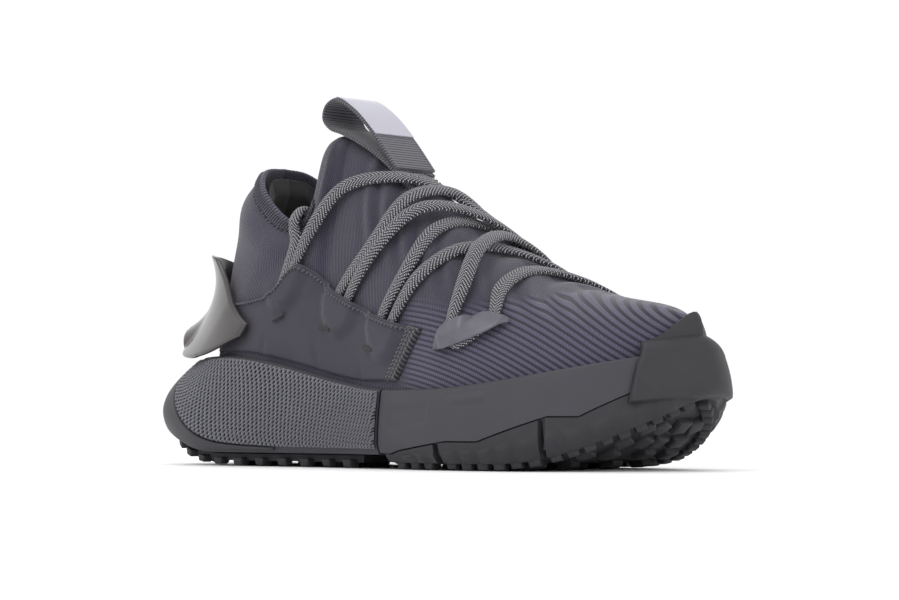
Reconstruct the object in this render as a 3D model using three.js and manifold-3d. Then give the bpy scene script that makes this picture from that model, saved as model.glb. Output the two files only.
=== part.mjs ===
// A right-foot knit running shoe as a scene graph of separate solids, in millimetres.
// X runs from the heel to the toe, +Y is the inner (medial) side and +Z is up; the shoe stands on z = 0.
// Every shell is a patch of one of two lofted surfaces, the sole wall or the foot form, given a thickness.
import * as THREE from "three";
import { mergeVertices } from "three/addons/utils/BufferGeometryUtils.js";
import Module from "manifold-3d";

const wasm = await Module();
wasm.setup();

// ---------------------------------------------------------------- driving dimensions
const clearance = 0.3; // gap kept between touching pieces

const soleLength = 291;
const soleWidth = 103; // across the ball of the foot
const layerGap = 0.002 * soleLength; // between the curved layers, whose facets stray with the size
const rimHeel = 48.5; // height of the sole wall's rim behind the heel
const rimBall = 33;
const rimToe = 49;
const rimThickness = 4;
const heelBevel = 20; // how far the heel's rearmost edge is off the ground
const toeSpring = 26; // how far the toe's tip is off the ground
const footbedHeel = 34;
const footbedBall = 23.5;
const bottomTuck = 7; // how far the sole's bottom edge lies inside its widest line

const collarTop = 134; // rim of the collar behind the heel
const collarDip = 107; // lowest point of the collar's rim, beside the ankle
const tongueTop = 146;
const instepHeight = 118; // top of the foot form above the arch
const toeBoxHeight = 64;

const rubberThickness = 3;
const footbedToeRise = rubberThickness + 5;
const lugDepth = 2.4;
const lugRadius = 4.2;
const lugRoot = 1.5; // how far a lug runs up into its pad
const foamStep = 2.4; // the foam is inset by this where rubber covers it
const webThickness = 1.2;
const boardThickness = 1.5;
const linerThickness = 4;
const linerEdge = 1.4; // room between the sockliner and the lining
const knitThickness = 2;
const quarterThickness = 1.1;
const filmThickness = 0.6;
const stiffenerThickness = 1.2;
const padThickness = 5;
const liningThickness = 1;
const counterThickness = 2;
const badgeThickness = 1.2;

const webbingWidth = 25;
const webbingThickness = 1.3;
const labelThickness = 0.6;
const laceWidth = 5.8;
const laceThickness = 3.2;
const agletLength = 20;
const agletRadius = 1.6;

// ---------------------------------------------------------------- small maths
const mix = (a, b, s) => a + (b - a) * s;
const clamp = (x, low = 0, high = 1) => Math.min(high, Math.max(low, x));
const smooth = (x) => clamp(x) ** 2 * (3 - 2 * clamp(x));
const range = (n) => [...Array(n).keys()];
const steps = (from, to, n) => range(n + 1).map((i) => from + ((to - from) * i) / n);
const vec = (p) => new THREE.Vector3(...p);
const mixPoint = (a, b, s) => a.map((x, i) => mix(x, b[i], s));

// Cubic through keys of [position, value, value...], with the slope at a key taken from its neighbours.
function keyed(keys) {
  const slope = (i, k) => {
    const a = keys[Math.max(i - 1, 0)];
    const b = keys[Math.min(i + 1, keys.length - 1)];
    return (b[k] - a[k]) / (b[0] - a[0]);
  };
  return (x) => {
    const at = clamp(x, keys[0][0], keys[keys.length - 1][0]);
    let i = keys.findIndex((k) => k[0] >= at);
    i = Math.max(i, 1);
    const a = keys[i - 1];
    const b = keys[i];
    const h = b[0] - a[0];
    const s = (at - a[0]) / h;
    const [h1, h2, h3, h4] = [2 * s ** 3 - 3 * s ** 2 + 1, s ** 3 - 2 * s ** 2 + s,
      3 * s ** 2 - 2 * s ** 3, s ** 3 - s ** 2];
    return a.slice(1).map((v, k) => v * h1 + slope(i - 1, k + 1) * h * h2 + b[k + 1] * h3
      + slope(i, k + 1) * h * h4);
  };
}

// ---------------------------------------------------------------- sole lines
// The sole's widest line as shares of its length and width, from the heel round the outer side to the
// toe and back.
const outlineShape = [
  [0.006, 0], [0.016, -0.185], [0.059, -0.33], [0.145, -0.413], [0.248, -0.417], [0.358, -0.403],
  [0.468, -0.413], [0.58, -0.456], [0.687, -0.485], [0.793, -0.447], [0.886, -0.32], [0.957, -0.117],
  [1, 0.117], [0.961, 0.34], [0.883, 0.476], [0.79, 0.515], [0.684, 0.485], [0.57, 0.417],
  [0.454, 0.359], [0.344, 0.35], [0.234, 0.374], [0.131, 0.383], [0.052, 0.311], [0.01, 0.175],
];
const turns = outlineShape.length; // the outline's parameter runs from 0 at the heel to this
const toe = turns / 2;

function outline(t) {
  const i = Math.floor(t);
  const s = t - i;
  const p = [-1, 0, 1, 2].map((k) => outlineShape[(((i + k) % turns) + turns) % turns]);
  const at = (k) => 0.5 * (2 * p[1][k] + (p[2][k] - p[0][k]) * s
    + (2 * p[0][k] - 5 * p[1][k] + 4 * p[2][k] - p[3][k]) * s ** 2
    + (3 * p[1][k] - p[0][k] - 3 * p[2][k] + p[3][k]) * s ** 3);
  return [at(0) * soleLength, at(1) * soleWidth];
}

// The outline moved outwards by d, or inwards where d is negative.
function outlineOffset(t, d) {
  const e = 0.02;
  const [x, y] = outline(t);
  const [xa, ya] = outline(t - e);
  const [xb, yb] = outline(t + e);
  const long = Math.hypot(xb - xa, yb - ya);
  return [x + (d * (yb - ya)) / long, y - (d * (xb - xa)) / long];
}

const share = (t) => outline(t)[0] / soleLength;
const rim = (u) => mix(rimHeel, rimBall, smooth((u - 0.2) / 0.38)) + (rimToe - rimBall)
  * clamp((u - 0.66) / 0.34) ** 1.6;
const ground = (u) => heelBevel * clamp(1 - u / 0.2) ** 2.2 + toeSpring * clamp((u - 0.76) / 0.24) ** 2.3;
const footbed = (u) => mix(footbedHeel, footbedBall, smooth((u - 0.3) / 0.38)) + footbedToeRise
  * clamp((u - 0.72) / 0.28) ** 2;
// The heel of the foot form stays inside the curve of the sole's heel.
const heelInset = 191.6 * (soleWidth / soleLength) ** 2;
const footInset = (u) => mix(heelInset, 6.2, smooth(u / 0.3)) + 2 * smooth((u - 0.9) / 0.1);
const rimInset = (u) => footInset(u) - rimThickness - clearance;

// all pieces share cross-sections this far apart in outline parameter, so their facets agree
const stationStep = 0.5;

// Runs a function of the outline parameter through the shared stations, with straight lines between them.
function throughStations(pointAt) {
  return (t, ...rest) => {
    const i = Math.floor(t / stationStep + 1e-6);
    const s = t / stationStep - i;
    const a = pointAt(i * stationStep, ...rest);
    if (s < 1e-5) return a;
    const b = pointAt((i + 1) * stationStep, ...rest);
    return a.map((x, k) => mix(x, b[k], s));
  };
}

// A point at height z on a line moved from the outline by d.
const planPoint = throughStations((t, inset, z) => [...outlineOffset(t, -inset(share(t))), z(share(t))]);

// A point on the sole wall at height z, moved outwards by d.
const wallInset = (u, z) => {
  const bulge = 0.35;
  const w = clamp((z - ground(u)) / (rim(u) - ground(u)));
  return w < bulge ? bottomTuck * (1 - w / bulge) ** 2 : rimInset(u) * ((w - bulge) / (1 - bulge)) ** 1.8;
};
const wall = throughStations((t, height, d = 0) => {
  const u = share(t);
  const z = height(u);
  return [...outlineOffset(t, d - wallInset(u, z)), z];
});

// ---------------------------------------------------------------- foot form
// Where the upper's side lines end: the collar's rim, the tongue's edge, then the ridge down to the toe.
// Keys are the outline's parameter, x as a share of the length, y in mm and z.
const collarEdge = keyed([
  [0, 0.193, 0, collarTop], [1, 0.203, -14, collarTop - 2], [2, 0.238, -24, collarTop - 12],
  [3, 0.291, -27, collarDip + 3], [3.6, 0.324, -26, collarDip], [4.1, 0.344, -24, collarDip + 7],
  [4.6, 0.352, -19, tongueTop - 10], [5.1, 0.354, -11, tongueTop - 2], [5.5, 0.355, 0, tongueTop],
]);
const ridge = keyed([
  [5.5, 0.355, 0, tongueTop], [6, 0.416, 1, tongueTop - 9.5], [7, 0.507, 2, instepHeight],
  [8, 0.607, 4, instepHeight - 21], [9, 0.71, 7, 81], [10, 0.817, 10, toeBoxHeight + 8],
  [11, 0.908, 12, toeBoxHeight + 3], [12, 0.961, 12, toeBoxHeight - 2],
]);
const tongueAt = 5.5; // outline parameter of the tongue's tip, where the two sides meet
// The side line's direction and strength where it leaves the footbed, and where it meets the crest.
const rise = keyed([[0, 5, 0, 42], [2, 3, 1, 34], [4, 0, 0, 30], [6, 0, 0, 34], [8, 0, 0, 32],
  [10, -1, 1, 24], [12, -1, 0, 20]]);
const fall = keyed([
  [0, -13, 0, -20], [1, -12, -6, -20], [2, -10, -8, -20], [3, -8, -9, -20], [3.6, 2, -8, -18],
  [4.3, 16, -10, -20],
  [5, 15, -18, -10], [5.5, 13, -24, -4], [6, 6, -28, -1], [7, 2, -30, 0], [8, 4, -32, 0],
  [10, 6, -24, 0], [11, 6, -16, 0], [12, 5, 0, -2],
]);

const side = (t) => (t > toe ? [turns - t, -1] : [t, 1]);

// A point on the foot form: v is 0 at the footbed and 1 at the crest.
function formPoint(t, v) {
  const [s, mirror] = side(((t % turns) + turns) % turns);
  const u = share(t);
  const [fx, fy] = outlineOffset(t, -footInset(u));
  const start = [fx, fy, footbed(u) + clearance];
  const [cx, cy, cz] = s < tongueAt ? collarEdge(s) : ridge(s);
  const crest = [cx * soleLength, s < tongueAt ? cy * mirror : cy, cz];
  const up = rise(s);
  const down = fall(s);
  const b = [(1 - v) ** 3, 3 * v * (1 - v) ** 2, 3 * v ** 2 * (1 - v), v ** 3];
  return [0, 1, 2].map((k) => {
    const m = k === 1 ? mirror : 1;
    return start[k] * b[0] + (start[k] + up[k] * m) * b[1] + (crest[k] + down[k] * m) * b[2] + crest[k]
      * b[3];
  });
}

// Outward direction at a point of the foot form. Along the ridge it is shared by both sides.
function formNormal(t, v) {
  const e = 0.04;
  const along = vec(formPoint(t + e, v)).sub(vec(formPoint(t - e, v)));
  const [s] = side(((t % turns) + turns) % turns);
  if (v > 0.999 && s > tongueAt - 0.01) {
    const [a, b] = [ridge(Math.min(s + e, toe)), ridge(Math.max(s - e, tongueAt))];
    return vec([b[2] - a[2], 0, (a[0] - b[0]) * soleLength]).normalize();
  }
  const up = vec(formPoint(t, Math.min(v + e, 1))).sub(vec(formPoint(t, Math.max(v - e, 0))));
  return along.cross(up).normalize();
}

const levels = 10; // rows of the foot form from the footbed to the crest
const stationMemory = new Map();
function station(i, j) {
  const turn = Math.round(turns / stationStep);
  const key = `${((i % turn) + turn) % turn},${j}`;
  if (!stationMemory.has(key)) {
    const t = (((i % turn) + turn) % turn) * stationStep;
    stationMemory.set(key, [formPoint(t, j / levels), formNormal(t, j / levels).toArray()]);
  }
  return stationMemory.get(key);
}

// The foot form moved outwards by d, flat between its shared stations and levels.
function form(t, v, d = 0) {
  const [ti, vi] = [t / stationStep, clamp(v) * levels];
  const [i, j] = [Math.floor(ti + 1e-6), Math.min(Math.floor(vi + 1e-6), levels - 1)];
  const [a, b] = [clamp(ti - i), clamp(vi - j)];
  const corner = (m, n) => {
    const [p, normal] = station(i + m, j + n);
    return p.map((x, k) => x + normal[k] * d);
  };
  const [p, q, r, s] = [corner(0, 0), corner(1, 0), corner(0, 1), corner(1, 1)];
  return p.map((x, k) => mix(mix(x, q[k], a), mix(r[k], s[k], a), b));
}

// Where on the foot form's side line at t the height is z.
function levelAt(t, z) {
  let [low, high] = [0, 1];
  for (let i = 0; i < 24; i++) {
    const middle = (low + high) / 2;
    if (form(t, middle)[2] < z) low = middle;
    else high = middle;
  }
  return (low + high) / 2;
}

// A point over the instep: s is the outline parameter of both sides, q runs from -1 at the outer
// footbed over 0 at the ridge to 1 at the inner footbed.
const instep = (s, q, d = 0) => form(q < 0 ? s : turns - s, 1 - Math.abs(q), d);

// ---------------------------------------------------------------- solids from grids
const materials = {
  rubber: ["#1d1d20", 0.75], foam: ["#39393f", 0.8], web: ["#303036", 0.9], knit: ["#3c3b45", 0.95],
  quarter: ["#3a3941", 0.8], film: ["#6a6a72", 0.4], tpu: ["#6f6a70", 0.3], badge: ["#26262a", 0.4],
  inner: ["#1a1a1e", 0.95], board: ["#55555a", 0.9], webbing: ["#5a5860", 0.9], label: ["#c9c7d2", 0.5],
  lace: ["#77767f", 0.9], aglet: ["#2b2b30", 0.3],
};

function solid(points, faces) {
  const raw = new THREE.BufferGeometry();
  raw.setAttribute("position", new THREE.BufferAttribute(new Float32Array(points.flat()), 3));
  raw.setIndex(faces);
  const merged = mergeVertices(raw, 1e-3);
  const kept = [];
  const index = merged.index.array;
  for (let i = 0; i < index.length; i += 3) {
    const [a, b, c] = index.subarray(i, i + 3);
    if (a !== b && b !== c && a !== c) kept.push(a, b, c);
  }
  merged.setIndex(kept);
  return merged;
}

// A closed slab between two grids of points, rows by columns. Where wrap is true the last column joins
// the first.
// The edge walls of the first and the last row are left out where openFirst or openLast says so for a
// column.
function slab(outer, inner, { wrap = false, openFirst = () => false, openLast = () => false } = {}) {
  const rows = outer.length;
  const columns = outer[0].length;
  const a = (r, c) => r * columns + (c % columns);
  const b = (r, c) => rows * columns + a(r, c);
  const faces = [];
  const quad = (p, q, r, s) => faces.push(p, q, r, p, r, s);
  const last = wrap ? columns : columns - 1;
  for (let c = 0; c < last; c++) {
    for (let r = 0; r < rows - 1; r++) {
      quad(a(r, c), a(r, c + 1), a(r + 1, c + 1), a(r + 1, c));
      quad(b(r, c), b(r + 1, c), b(r + 1, c + 1), b(r, c + 1));
    }
    if (!openFirst(c)) quad(a(0, c), b(0, c), b(0, c + 1), a(0, c + 1));
    if (!openLast(c)) quad(a(rows - 1, c), a(rows - 1, c + 1), b(rows - 1, c + 1), b(rows - 1, c));
  }
  for (let r = 0; r < rows - 1 && !wrap; r++) {
    quad(a(r, 0), a(r + 1, 0), b(r + 1, 0), b(r, 0));
    quad(a(r, last), b(r, last), b(r + 1, last), a(r + 1, last));
  }
  return solid([...outer.flat(), ...inner.flat()], faces);
}

// A closed solid through a stack of loops from bottom to top. Each loop runs out along one side and
// back along the other, and both ends are closed by strips across from side to side.
function stack(loops) {
  const count = loops[0].length;
  const faces = [];
  const at = (k, i) => k * count + (i % count);
  for (let k = 0; k < loops.length - 1; k++) {
    for (let i = 0; i < count; i++) {
      faces.push(at(k, i), at(k, i + 1), at(k + 1, i + 1), at(k, i), at(k + 1, i + 1), at(k + 1, i));
    }
  }
  const top = loops.length - 1;
  for (let i = 0; i < count / 2 - 1; i++) {
    const j = count - 1 - i;
    faces.push(at(top, i), at(top, i + 1), at(top, j - 1), at(top, i), at(top, j - 1), at(top, j));
    faces.push(at(0, i), at(0, j - 1), at(0, i + 1), at(0, i), at(0, j), at(0, j - 1));
  }
  return solid(loops.flat(), faces);
}

// Shared stations from one outline parameter to another, both included.
function stations(from, to, step = stationStep) {
  const inside = range(Math.ceil((to - from) / step) + 1).map((i) =>
    (Math.floor(from / step) + 1 + i) * step);
  return [from, ...inside.filter((t) => t > from + 0.01 && t < to - 0.01), to];
}

// Outline parameters out along the outer side and back along the inner one, as stack() needs them.
function bothSides(from, to) {
  const out = stations(from, to);
  return [...out, ...out.map((t) => turns - t).reverse()];
}

const toManifold = (geometry) => new wasm.Manifold(new wasm.Mesh({
  numProp: 3, vertProperties: geometry.attributes.position.array,
    triVerts: new Uint32Array(geometry.index.array),
}));

function fromManifold(made) {
  const mesh = made.getMesh();
  const geometry = new THREE.BufferGeometry();
  geometry.setAttribute("position", new THREE.BufferAttribute(mesh.vertProperties.slice(), 3));
  geometry.setIndex([...mesh.triVerts]);
  return geometry;
}

function positionsOnly(geometry) {
  const bare = geometry.clone();
  bare.deleteAttribute("normal");
  bare.deleteAttribute("uv");
  return mergeVertices(bare, 1e-3);
}

const shoe = new THREE.Group();
function add(name, finish, geometry) {
  const [color, roughness] = materials[finish];
  const mesh = new THREE.Mesh(geometry, new THREE.MeshStandardMaterial({ color, roughness, metalness: 0 }));
  mesh.name = name;
  mesh.geometry.computeVertexNormals();
  shoe.add(mesh);
  return mesh;
}

// ---------------------------------------------------------------- sole
const heelEnd = 6.8; // outline parameter where the heel foam meets the forefoot foam
const jointGap = 0.02; // half of the gap left there, as outline parameter

// Height of the rubber's upper edge on the sole wall, in mm over shares of the length.
const rubberTeeth = [
  [0, 3], [0.55, 4], [0.6, 8], [0.7, 12], [0.755, 12], [0.853, 22], [0.89, 22], [0.945, 32],
  [0.965, 40], [1, 43],
];
function rubberLine(u) {
  const i = Math.max(rubberTeeth.findIndex((k) => k[0] >= Math.min(u, 1)), 1);
  const [a, b] = [rubberTeeth[i - 1], rubberTeeth[i]];
  return Math.min(mix(a[1], b[1], clamp((u - a[0]) / (b[0] - a[0]))), rim(u) - 5);
}
const rubberDepth = rubberThickness + lugDepth + clearance; // from the ground line up to the foam
const foamUnder = (u) => ground(u) + rubberDepth;
const foamLow = (u) => Math.max(rubberLine(u), foamUnder(u) + 1);
const tuckInset = () => bottomTuck + 3;
const closesAtEnd = (t) => () => t === 0 || t === toe;

// Points straight across the sole at the outline parameter s, from the outer side to the inner one.
function across(s, inset, height) {
  const a = planPoint(s, inset, height);
  const b = planPoint(turns - s, inset, height);
  return steps(0, 1, 4).map((k) => mixPoint(a, b, k));
}

// Foam between two outline parameters: underside, wall with the step that takes the rubber, rim, cup
// and footbed.
function foamBlock(from, to, stepped) {
  const step = stepped ? foamStep + clearance : 0;
  const outside = (t) => [
    ...[1, 0.66, 0.33, 0].map((k) => wall(t, (u) => mix(foamLow(u), rim(u), k))),
    wall(t, (u) => foamLow(u) - 0.2, -step),
    wall(t, (u) => foamUnder(u) + 0.4, -step),
  ];
  const inside = (t) => [1, 0.8, 0.6, 0.4, 0.2, 0.1].map((k) => (
    planPoint(t, (u) => footInset(u) - layerGap - k * clearance, (u) => mix(footbed(u), rim(u), k))));
  const section = (s, edge, floor) => [...edge(s), ...floor, ...edge(turns - s).reverse()];
  const ts = stations(from, to);
  const outer = ts.map((s) => section(s, outside, across(s, tuckInset, foamUnder)));
  const inner = ts.map((s) => section(s, inside, across(s, (u) => footInset(u) - layerGap, footbed)));
  return slab(outer, inner, { openFirst: closesAtEnd(from), openLast: closesAtEnd(to) });
}
add("heel_foam", "foam", foamBlock(0, heelEnd - jointGap, false));
add("forefoot_foam", "foam", foamBlock(heelEnd + jointGap, toe, true));

const skinGap = 0.6; // between the heel foam and its skins

// A skin over the wall of the heel foam between two heights.
function wallSkin(from, to, low, high, thickness, mirrored) {
  const rows = steps(0, 1, 6);
  const ts = stations(from, to);
  const grid = (d) => rows.map((r) => ts.map((s) =>
    wall(mirrored ? turns - s : s, (u) => mix(low(u), high(u), r), d)));
  const [a, b] = [grid(skinGap + thickness), grid(skinGap)];
  return mirrored ? slab(b, a) : slab(a, b);
}
const padEnd = 1.6; // outline parameter of the seam between the rear pad and the mesh
const skinLow = (u) => ground(u) + rubberDepth + 1.5;
const skinHigh = (u) => rim(u) - 1;
add("rear_heel_pad", "rubber", wallSkin(-padEnd + jointGap, padEnd - jointGap, skinLow,
  (u) => rim(u) - 14, webThickness, false));
add("mesh_wrap_lateral", "web", wallSkin(padEnd, heelEnd - 2 * jointGap, skinLow, skinHigh,
  webThickness, false));
add("mesh_wrap_medial", "web", wallSkin(padEnd, heelEnd - 2 * jointGap, skinLow, skinHigh, webThickness,
  true));

// ---------------------------------------------------------------- outsole
// One pad of the outsole: a rubber sheet with lugs under it, whose sides climb the foam where climbs is
// true.
function outsolePad(from, to, climbs, lugs) {
  const low = (u) => ground(u) + lugDepth;
  const top = (u) => foamLow(u) - 2 * clearance;
  const bare = (t, inset, z) => [planPoint(t, () => bottomTuck + inset, z)];
  const outside = (t) => (climbs
    ? [wall(t, top, -clearance), wall(t, (u) => mix(low(u), top(u), 0.5), -clearance),
      wall(t, (u) => low(u) + 0.6, -clearance)]
    : bare(t, 1, low));
  const inside = (t) => (climbs
    ? [wall(t, top, -foamStep), wall(t, (u) => foamUnder(u) + 0.4, -foamStep),
      wall(t, (u) => foamUnder(u) + 0.2, -foamStep - 0.3)]
    : bare(t, 1.4, (u) => foamUnder(u) - clearance));
  const section = (s, edge, z) => [...edge(s), ...across(s, tuckInset, z), ...edge(turns - s).reverse()];
  const ts = stations(from, to);
  const outer = ts.map((s) => section(s, outside, low));
  const inner = ts.map((s) => section(s, inside, (u) => foamUnder(u) - clearance));
  const sheet = slab(outer, inner, { openLast: closesAtEnd(to) });
  const under = (s, k) => mixPoint(...[s, turns - s].map((t) => planPoint(t, tuckInset, low)), k);
  const pieces = lugs.map(([s, k]) => {
    const [x, y, z] = under(s, k);
    const [tail, nose] = [under(s - 0.3, k), under(s + 0.3, k)];
    const lug = new THREE.CylinderGeometry(lugRadius, lugRadius * 0.85, lugDepth + lugRoot, 6);
    lug.rotateX(Math.PI / 2);
    const slope = (nose[2] - tail[2]) / (nose[0] - tail[0]);
    lug.rotateY(-Math.atan(slope));
    lug.translate(x, y, z + (lugRoot - lugDepth) / 2 + Math.min(Math.abs(slope) * lugRadius, lugRoot / 4));
    return toManifold(positionsOnly(lug));
  });
  return fromManifold(pieces.reduce((made, lug) => made.add(lug), toManifold(positionsOnly(sheet))));
}
const lugGrid = (rows, ks) => rows.flatMap((s, i) =>
  ks.map((k) => [s, k + (i % 2 ? 0.04 : -0.04) * (k < 0.5 ? 1 : -1)]));
add("outsole_heel", "rubber", outsolePad(1.2, 6.2, false,
  lugGrid([1.8, 2.4, 3, 3.6, 4.2, 4.8, 5.5], [0.14, 0.5, 0.86])));
add("outsole_arch", "rubber", outsolePad(heelEnd + 0.1, 7.9, true,
  lugGrid([7.2, 7.6], [0.12, 0.38, 0.62, 0.88])));
add("outsole_ball", "rubber", outsolePad(8, 9.5, true,
  lugGrid([8.3, 8.75, 9.2], [0.12, 0.37, 0.63, 0.88])));
add("outsole_toe", "rubber", outsolePad(9.6, 12, true,
  lugGrid([9.9, 10.4, 10.9], [0.16, 0.38, 0.62, 0.84])));

// ---------------------------------------------------------------- footbed
const underKnit = knitThickness + 0.6 * layerGap; // offset of the layers inside the knit
const linerInset = underKnit + stiffenerThickness + linerEdge;
function insetPlate(inset, low, high) {
  const ts = bothSides(0, toe);
  const loop = (z) => ts.map((t) => planPoint(t, (u) => footInset(u) + inset, (u) => footbed(u) + z));
  return stack([loop(low), loop(high)]);
}
add("strobel_board", "board", insetPlate(knitThickness + 2 * clearance + layerGap, clearance,
  clearance + boardThickness));
const linerLow = boardThickness + 2 * clearance;
add("sockliner", "inner", insetPlate(linerInset, linerLow, linerLow + linerThickness));

// ---------------------------------------------------------------- upper
// A piece of the foot form between two outline parameters and two heights on it, from offset inner to
// outer.
function patch(from, to, low, high, outer, inner, fine = {}) {
  const { t: stepT = stationStep, v: rows = levels, mirrored = false } = fine;
  const ts = stations(from, to, stepT);
  const limits = ts.map((t) => [low(t), high(t)]);
  const bottom = Math.min(...limits.map((l) => l[0]));
  const top = Math.max(...limits.map((l) => l[1]));
  const vs = [bottom, ...range(rows).map((j) => j / rows).filter((v) => v > bottom && v < top), top];
  const grid = (offset) => vs.map((v) => ts.map((t, i) => {
    const at = clamp(v, ...limits[i]);
    const where = mirrored ? turns - t : t;
    return form(where, at, typeof offset === "function" ? offset(where, at) : offset);
  }));
  const [a, b] = [grid(outer), grid(inner)];
  return mirrored ? slab(b, a) : slab(a, b);
}

// The knit bootie: the whole form, open at the collar and joined along the ridge.
function bootie() {
  const ts = range(Math.round(turns / stationStep)).map((i) => i * stationStep);
  const grid = (d) => range(levels + 1).map((j) => ts.map((t) => form(t, j / levels, d)));
  const onRidge = (c) => ts[c] > tongueAt - 0.01 && ts[c] < turns - tongueAt - 0.01;
  return slab(grid(0), grid(-knitThickness), { wrap: true, openLast: onRidge });
}
add("knit_bootie", "knit", bootie());

const padLow = 0.5;
const padDepth = (v) => smooth((v - padLow) / 0.14) * smooth((1 - v) / 0.12) * padThickness;
const padHigh = 0.94;
const liningOuter = (t, v) => -(underKnit + stiffenerThickness + 2 * clearance + padDepth(v));
const liningInner = (t, v) => liningOuter(t, v) - liningThickness;
const liningEnd = 4.3; // outline parameter where lining and padding stop beside the tongue
const flat = (v) => () => v;
for (const [name, mirrored] of [["lateral", false], ["medial", true]]) {
  const padOuter = () => -underKnit;
  const padInner = (t, v) => liningOuter(t, v) + stiffenerThickness;
  add(`collar_pad_${name}`, "inner", patch(0.6, liningEnd - 0.4, flat(padLow + 0.1), flat(padHigh),
    padOuter, padInner, { mirrored }));
}
add("collar_lining", "inner", patch(-liningEnd, liningEnd, flat(0.36), flat(0.97), liningOuter,
  liningInner));
const stiffenerTop = padLow;
add("heel_stiffener", "board", patch(-3.2, 3.2, flat(0.2), flat(stiffenerTop), -underKnit,
  -underKnit - stiffenerThickness));
add("toe_puff", "board", patch(10.8, turns - 10.8, flat(0.14), flat(0.7), -underKnit,
  -underKnit - stiffenerThickness));

// ---------------------------------------------------------------- laces
// Eyelets as [outline parameter, share across the instep], from the ankle to the toe.
const outerEyelets = [[4.35, -0.54], [5.85, -0.71], [6.8, -0.74], [8.2, -0.69], [8.65, -0.58]];
const innerEyelets = [[7.1, 0.52], [7.7, 0.5], [8.15, 0.48], [8.8, 0.45], [9.35, 0.4]];
const drape = 0.6; // gap kept between the knit and what lies on it
const laceRest = drape + laceThickness / 2 + 0.9; // height of a resting lace's centre above the knit
const turnRadius = 0.1; // of a lace's turn at an eyelet, as outline parameter

// Stops along the lace: place on the instep, height of the centre and share of the full width.
function turnStops([s, q], leadsForward) {
  const into = Math.sign(q) * 0.035;
  const [first, second] = leadsForward ? [-turnRadius, turnRadius] : [turnRadius, -turnRadius];
  return [[s + first, q - into / 2, laceRest, 0.62], [s, q + into, laceRest, 0.6],
    [s + second, q - into / 2, laceRest, 0.62]];
}
// A row of the lace between two eyelets, bowed towards the toe where it crosses the ridge.
const crossing = (a, b, lift, bow) => [0.2, 0.4, 0.6, 0.8].map((k) => [
  mix(a[0], b[0], k) + 4 * k * (1 - k) * bow, mix(a[1], b[1], k),
    laceRest + lift * Math.sin(Math.PI * k) ** 2, 1,
]);
const lift = laceThickness + 2 * clearance + 1.2;
const [L1, L2, L3, L4, L5] = outerEyelets;
const [M1, M2, M3, M4, M5] = innerEyelets;
const laceStops = [
  ...turnStops(L1, true).slice(1), [5.05, -0.44, laceRest + 1.5, 0.9],
  ...crossing(L1, M2, 3, 1.1), ...turnStops(M2, true), ...crossing(M2, L3, 0, 0.4),
  ...turnStops(L3, true), ...crossing(L3, M4, 0, 0.4), ...turnStops(M4, true).slice(0, 2),
  ...turnStops(M5, true).slice(1),
  ...crossing(M5, L5, 0, 0), ...turnStops(L5, false).slice(0, 2), ...turnStops(L4, false).slice(1),
  ...crossing(L4, M3, lift, 0.1), ...turnStops(M3, false), ...crossing(M3, L2, lift, 0.5),
  ...turnStops(L2, false), ...crossing(L2, M1, lift, 0.7), ...turnStops(M1, false).slice(0, 2),
];

const cutsPerStop = 1.8;

// A flat cord through stops of [point, outward normal, share of the width], as rings of eight points.
function cord(stops, width, thickness) {
  const curve = new THREE.CatmullRomCurve3(stops.map((s) => s[0]), false, "centripetal");
  const count = Math.min(Math.round(cutsPerStop * (stops.length - 1)), 80);
  const atStop = (k) => {
    const f = k * (stops.length - 1);
    const i = Math.min(Math.floor(f), stops.length - 2);
    const normal = stops[i][1].clone().lerp(stops[i + 1][1], f - i).normalize();
    return [normal, mix(stops[i][2], stops[i + 1][2], f - i)];
  };
  const rings = steps(0, 1, count).map((k) => {
    const tangent = curve.getTangent(k);
    const [normal, share] = atStop(k);
    const across = tangent.clone().cross(normal).normalize();
    const up = across.clone().cross(tangent).normalize();
    return range(8).map((i) => {
      const turn = ((i + 0.5) * Math.PI) / 4;
      const p = curve.getPoint(k);
      p.addScaledVector(across, ((Math.cos(turn) * width) / 2) * share);
      return p.addScaledVector(up, (Math.sin(turn) * thickness) / 2).toArray();
    });
  });
  const faces = [];
  const at = (r, i) => r * 8 + (i % 8);
  for (let r = 0; r < rings.length - 1; r++) {
    for (let i = 0; i < 8; i++) faces.push(at(r, i), at(r + 1, i), at(r + 1, i + 1), at(r, i),
      at(r + 1, i + 1), at(r, i + 1));
  }
  for (let i = 1; i < 7; i++) {
    faces.push(at(0, 0), at(0, i), at(0, i + 1));
    faces.push(at(rings.length - 1, 0), at(rings.length - 1, i + 1), at(rings.length - 1, i));
  }
  return solid(rings.flat(), faces);
}
const onInstep = ([s, q, d, share]) => [vec(instep(s, q, d)),
  vec(instep(s, q, 1)).sub(vec(instep(s, q))).normalize(), share];
add("lace", "lace", cord(laceStops.map(onInstep), laceWidth, laceThickness));

// Free ends: up from the top eyelets, over the collar's rim, down the lining and forward along the
// sockliner.
const linerTop = (u) => footbed(u) + linerLow + linerThickness;
const insideWall = (t, v) => liningInner(t, v) - 2 * clearance - laceThickness / 2;
const outwards = (t, v) => vec(form(t, v, 1)).sub(vec(form(t, v))).normalize();
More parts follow.
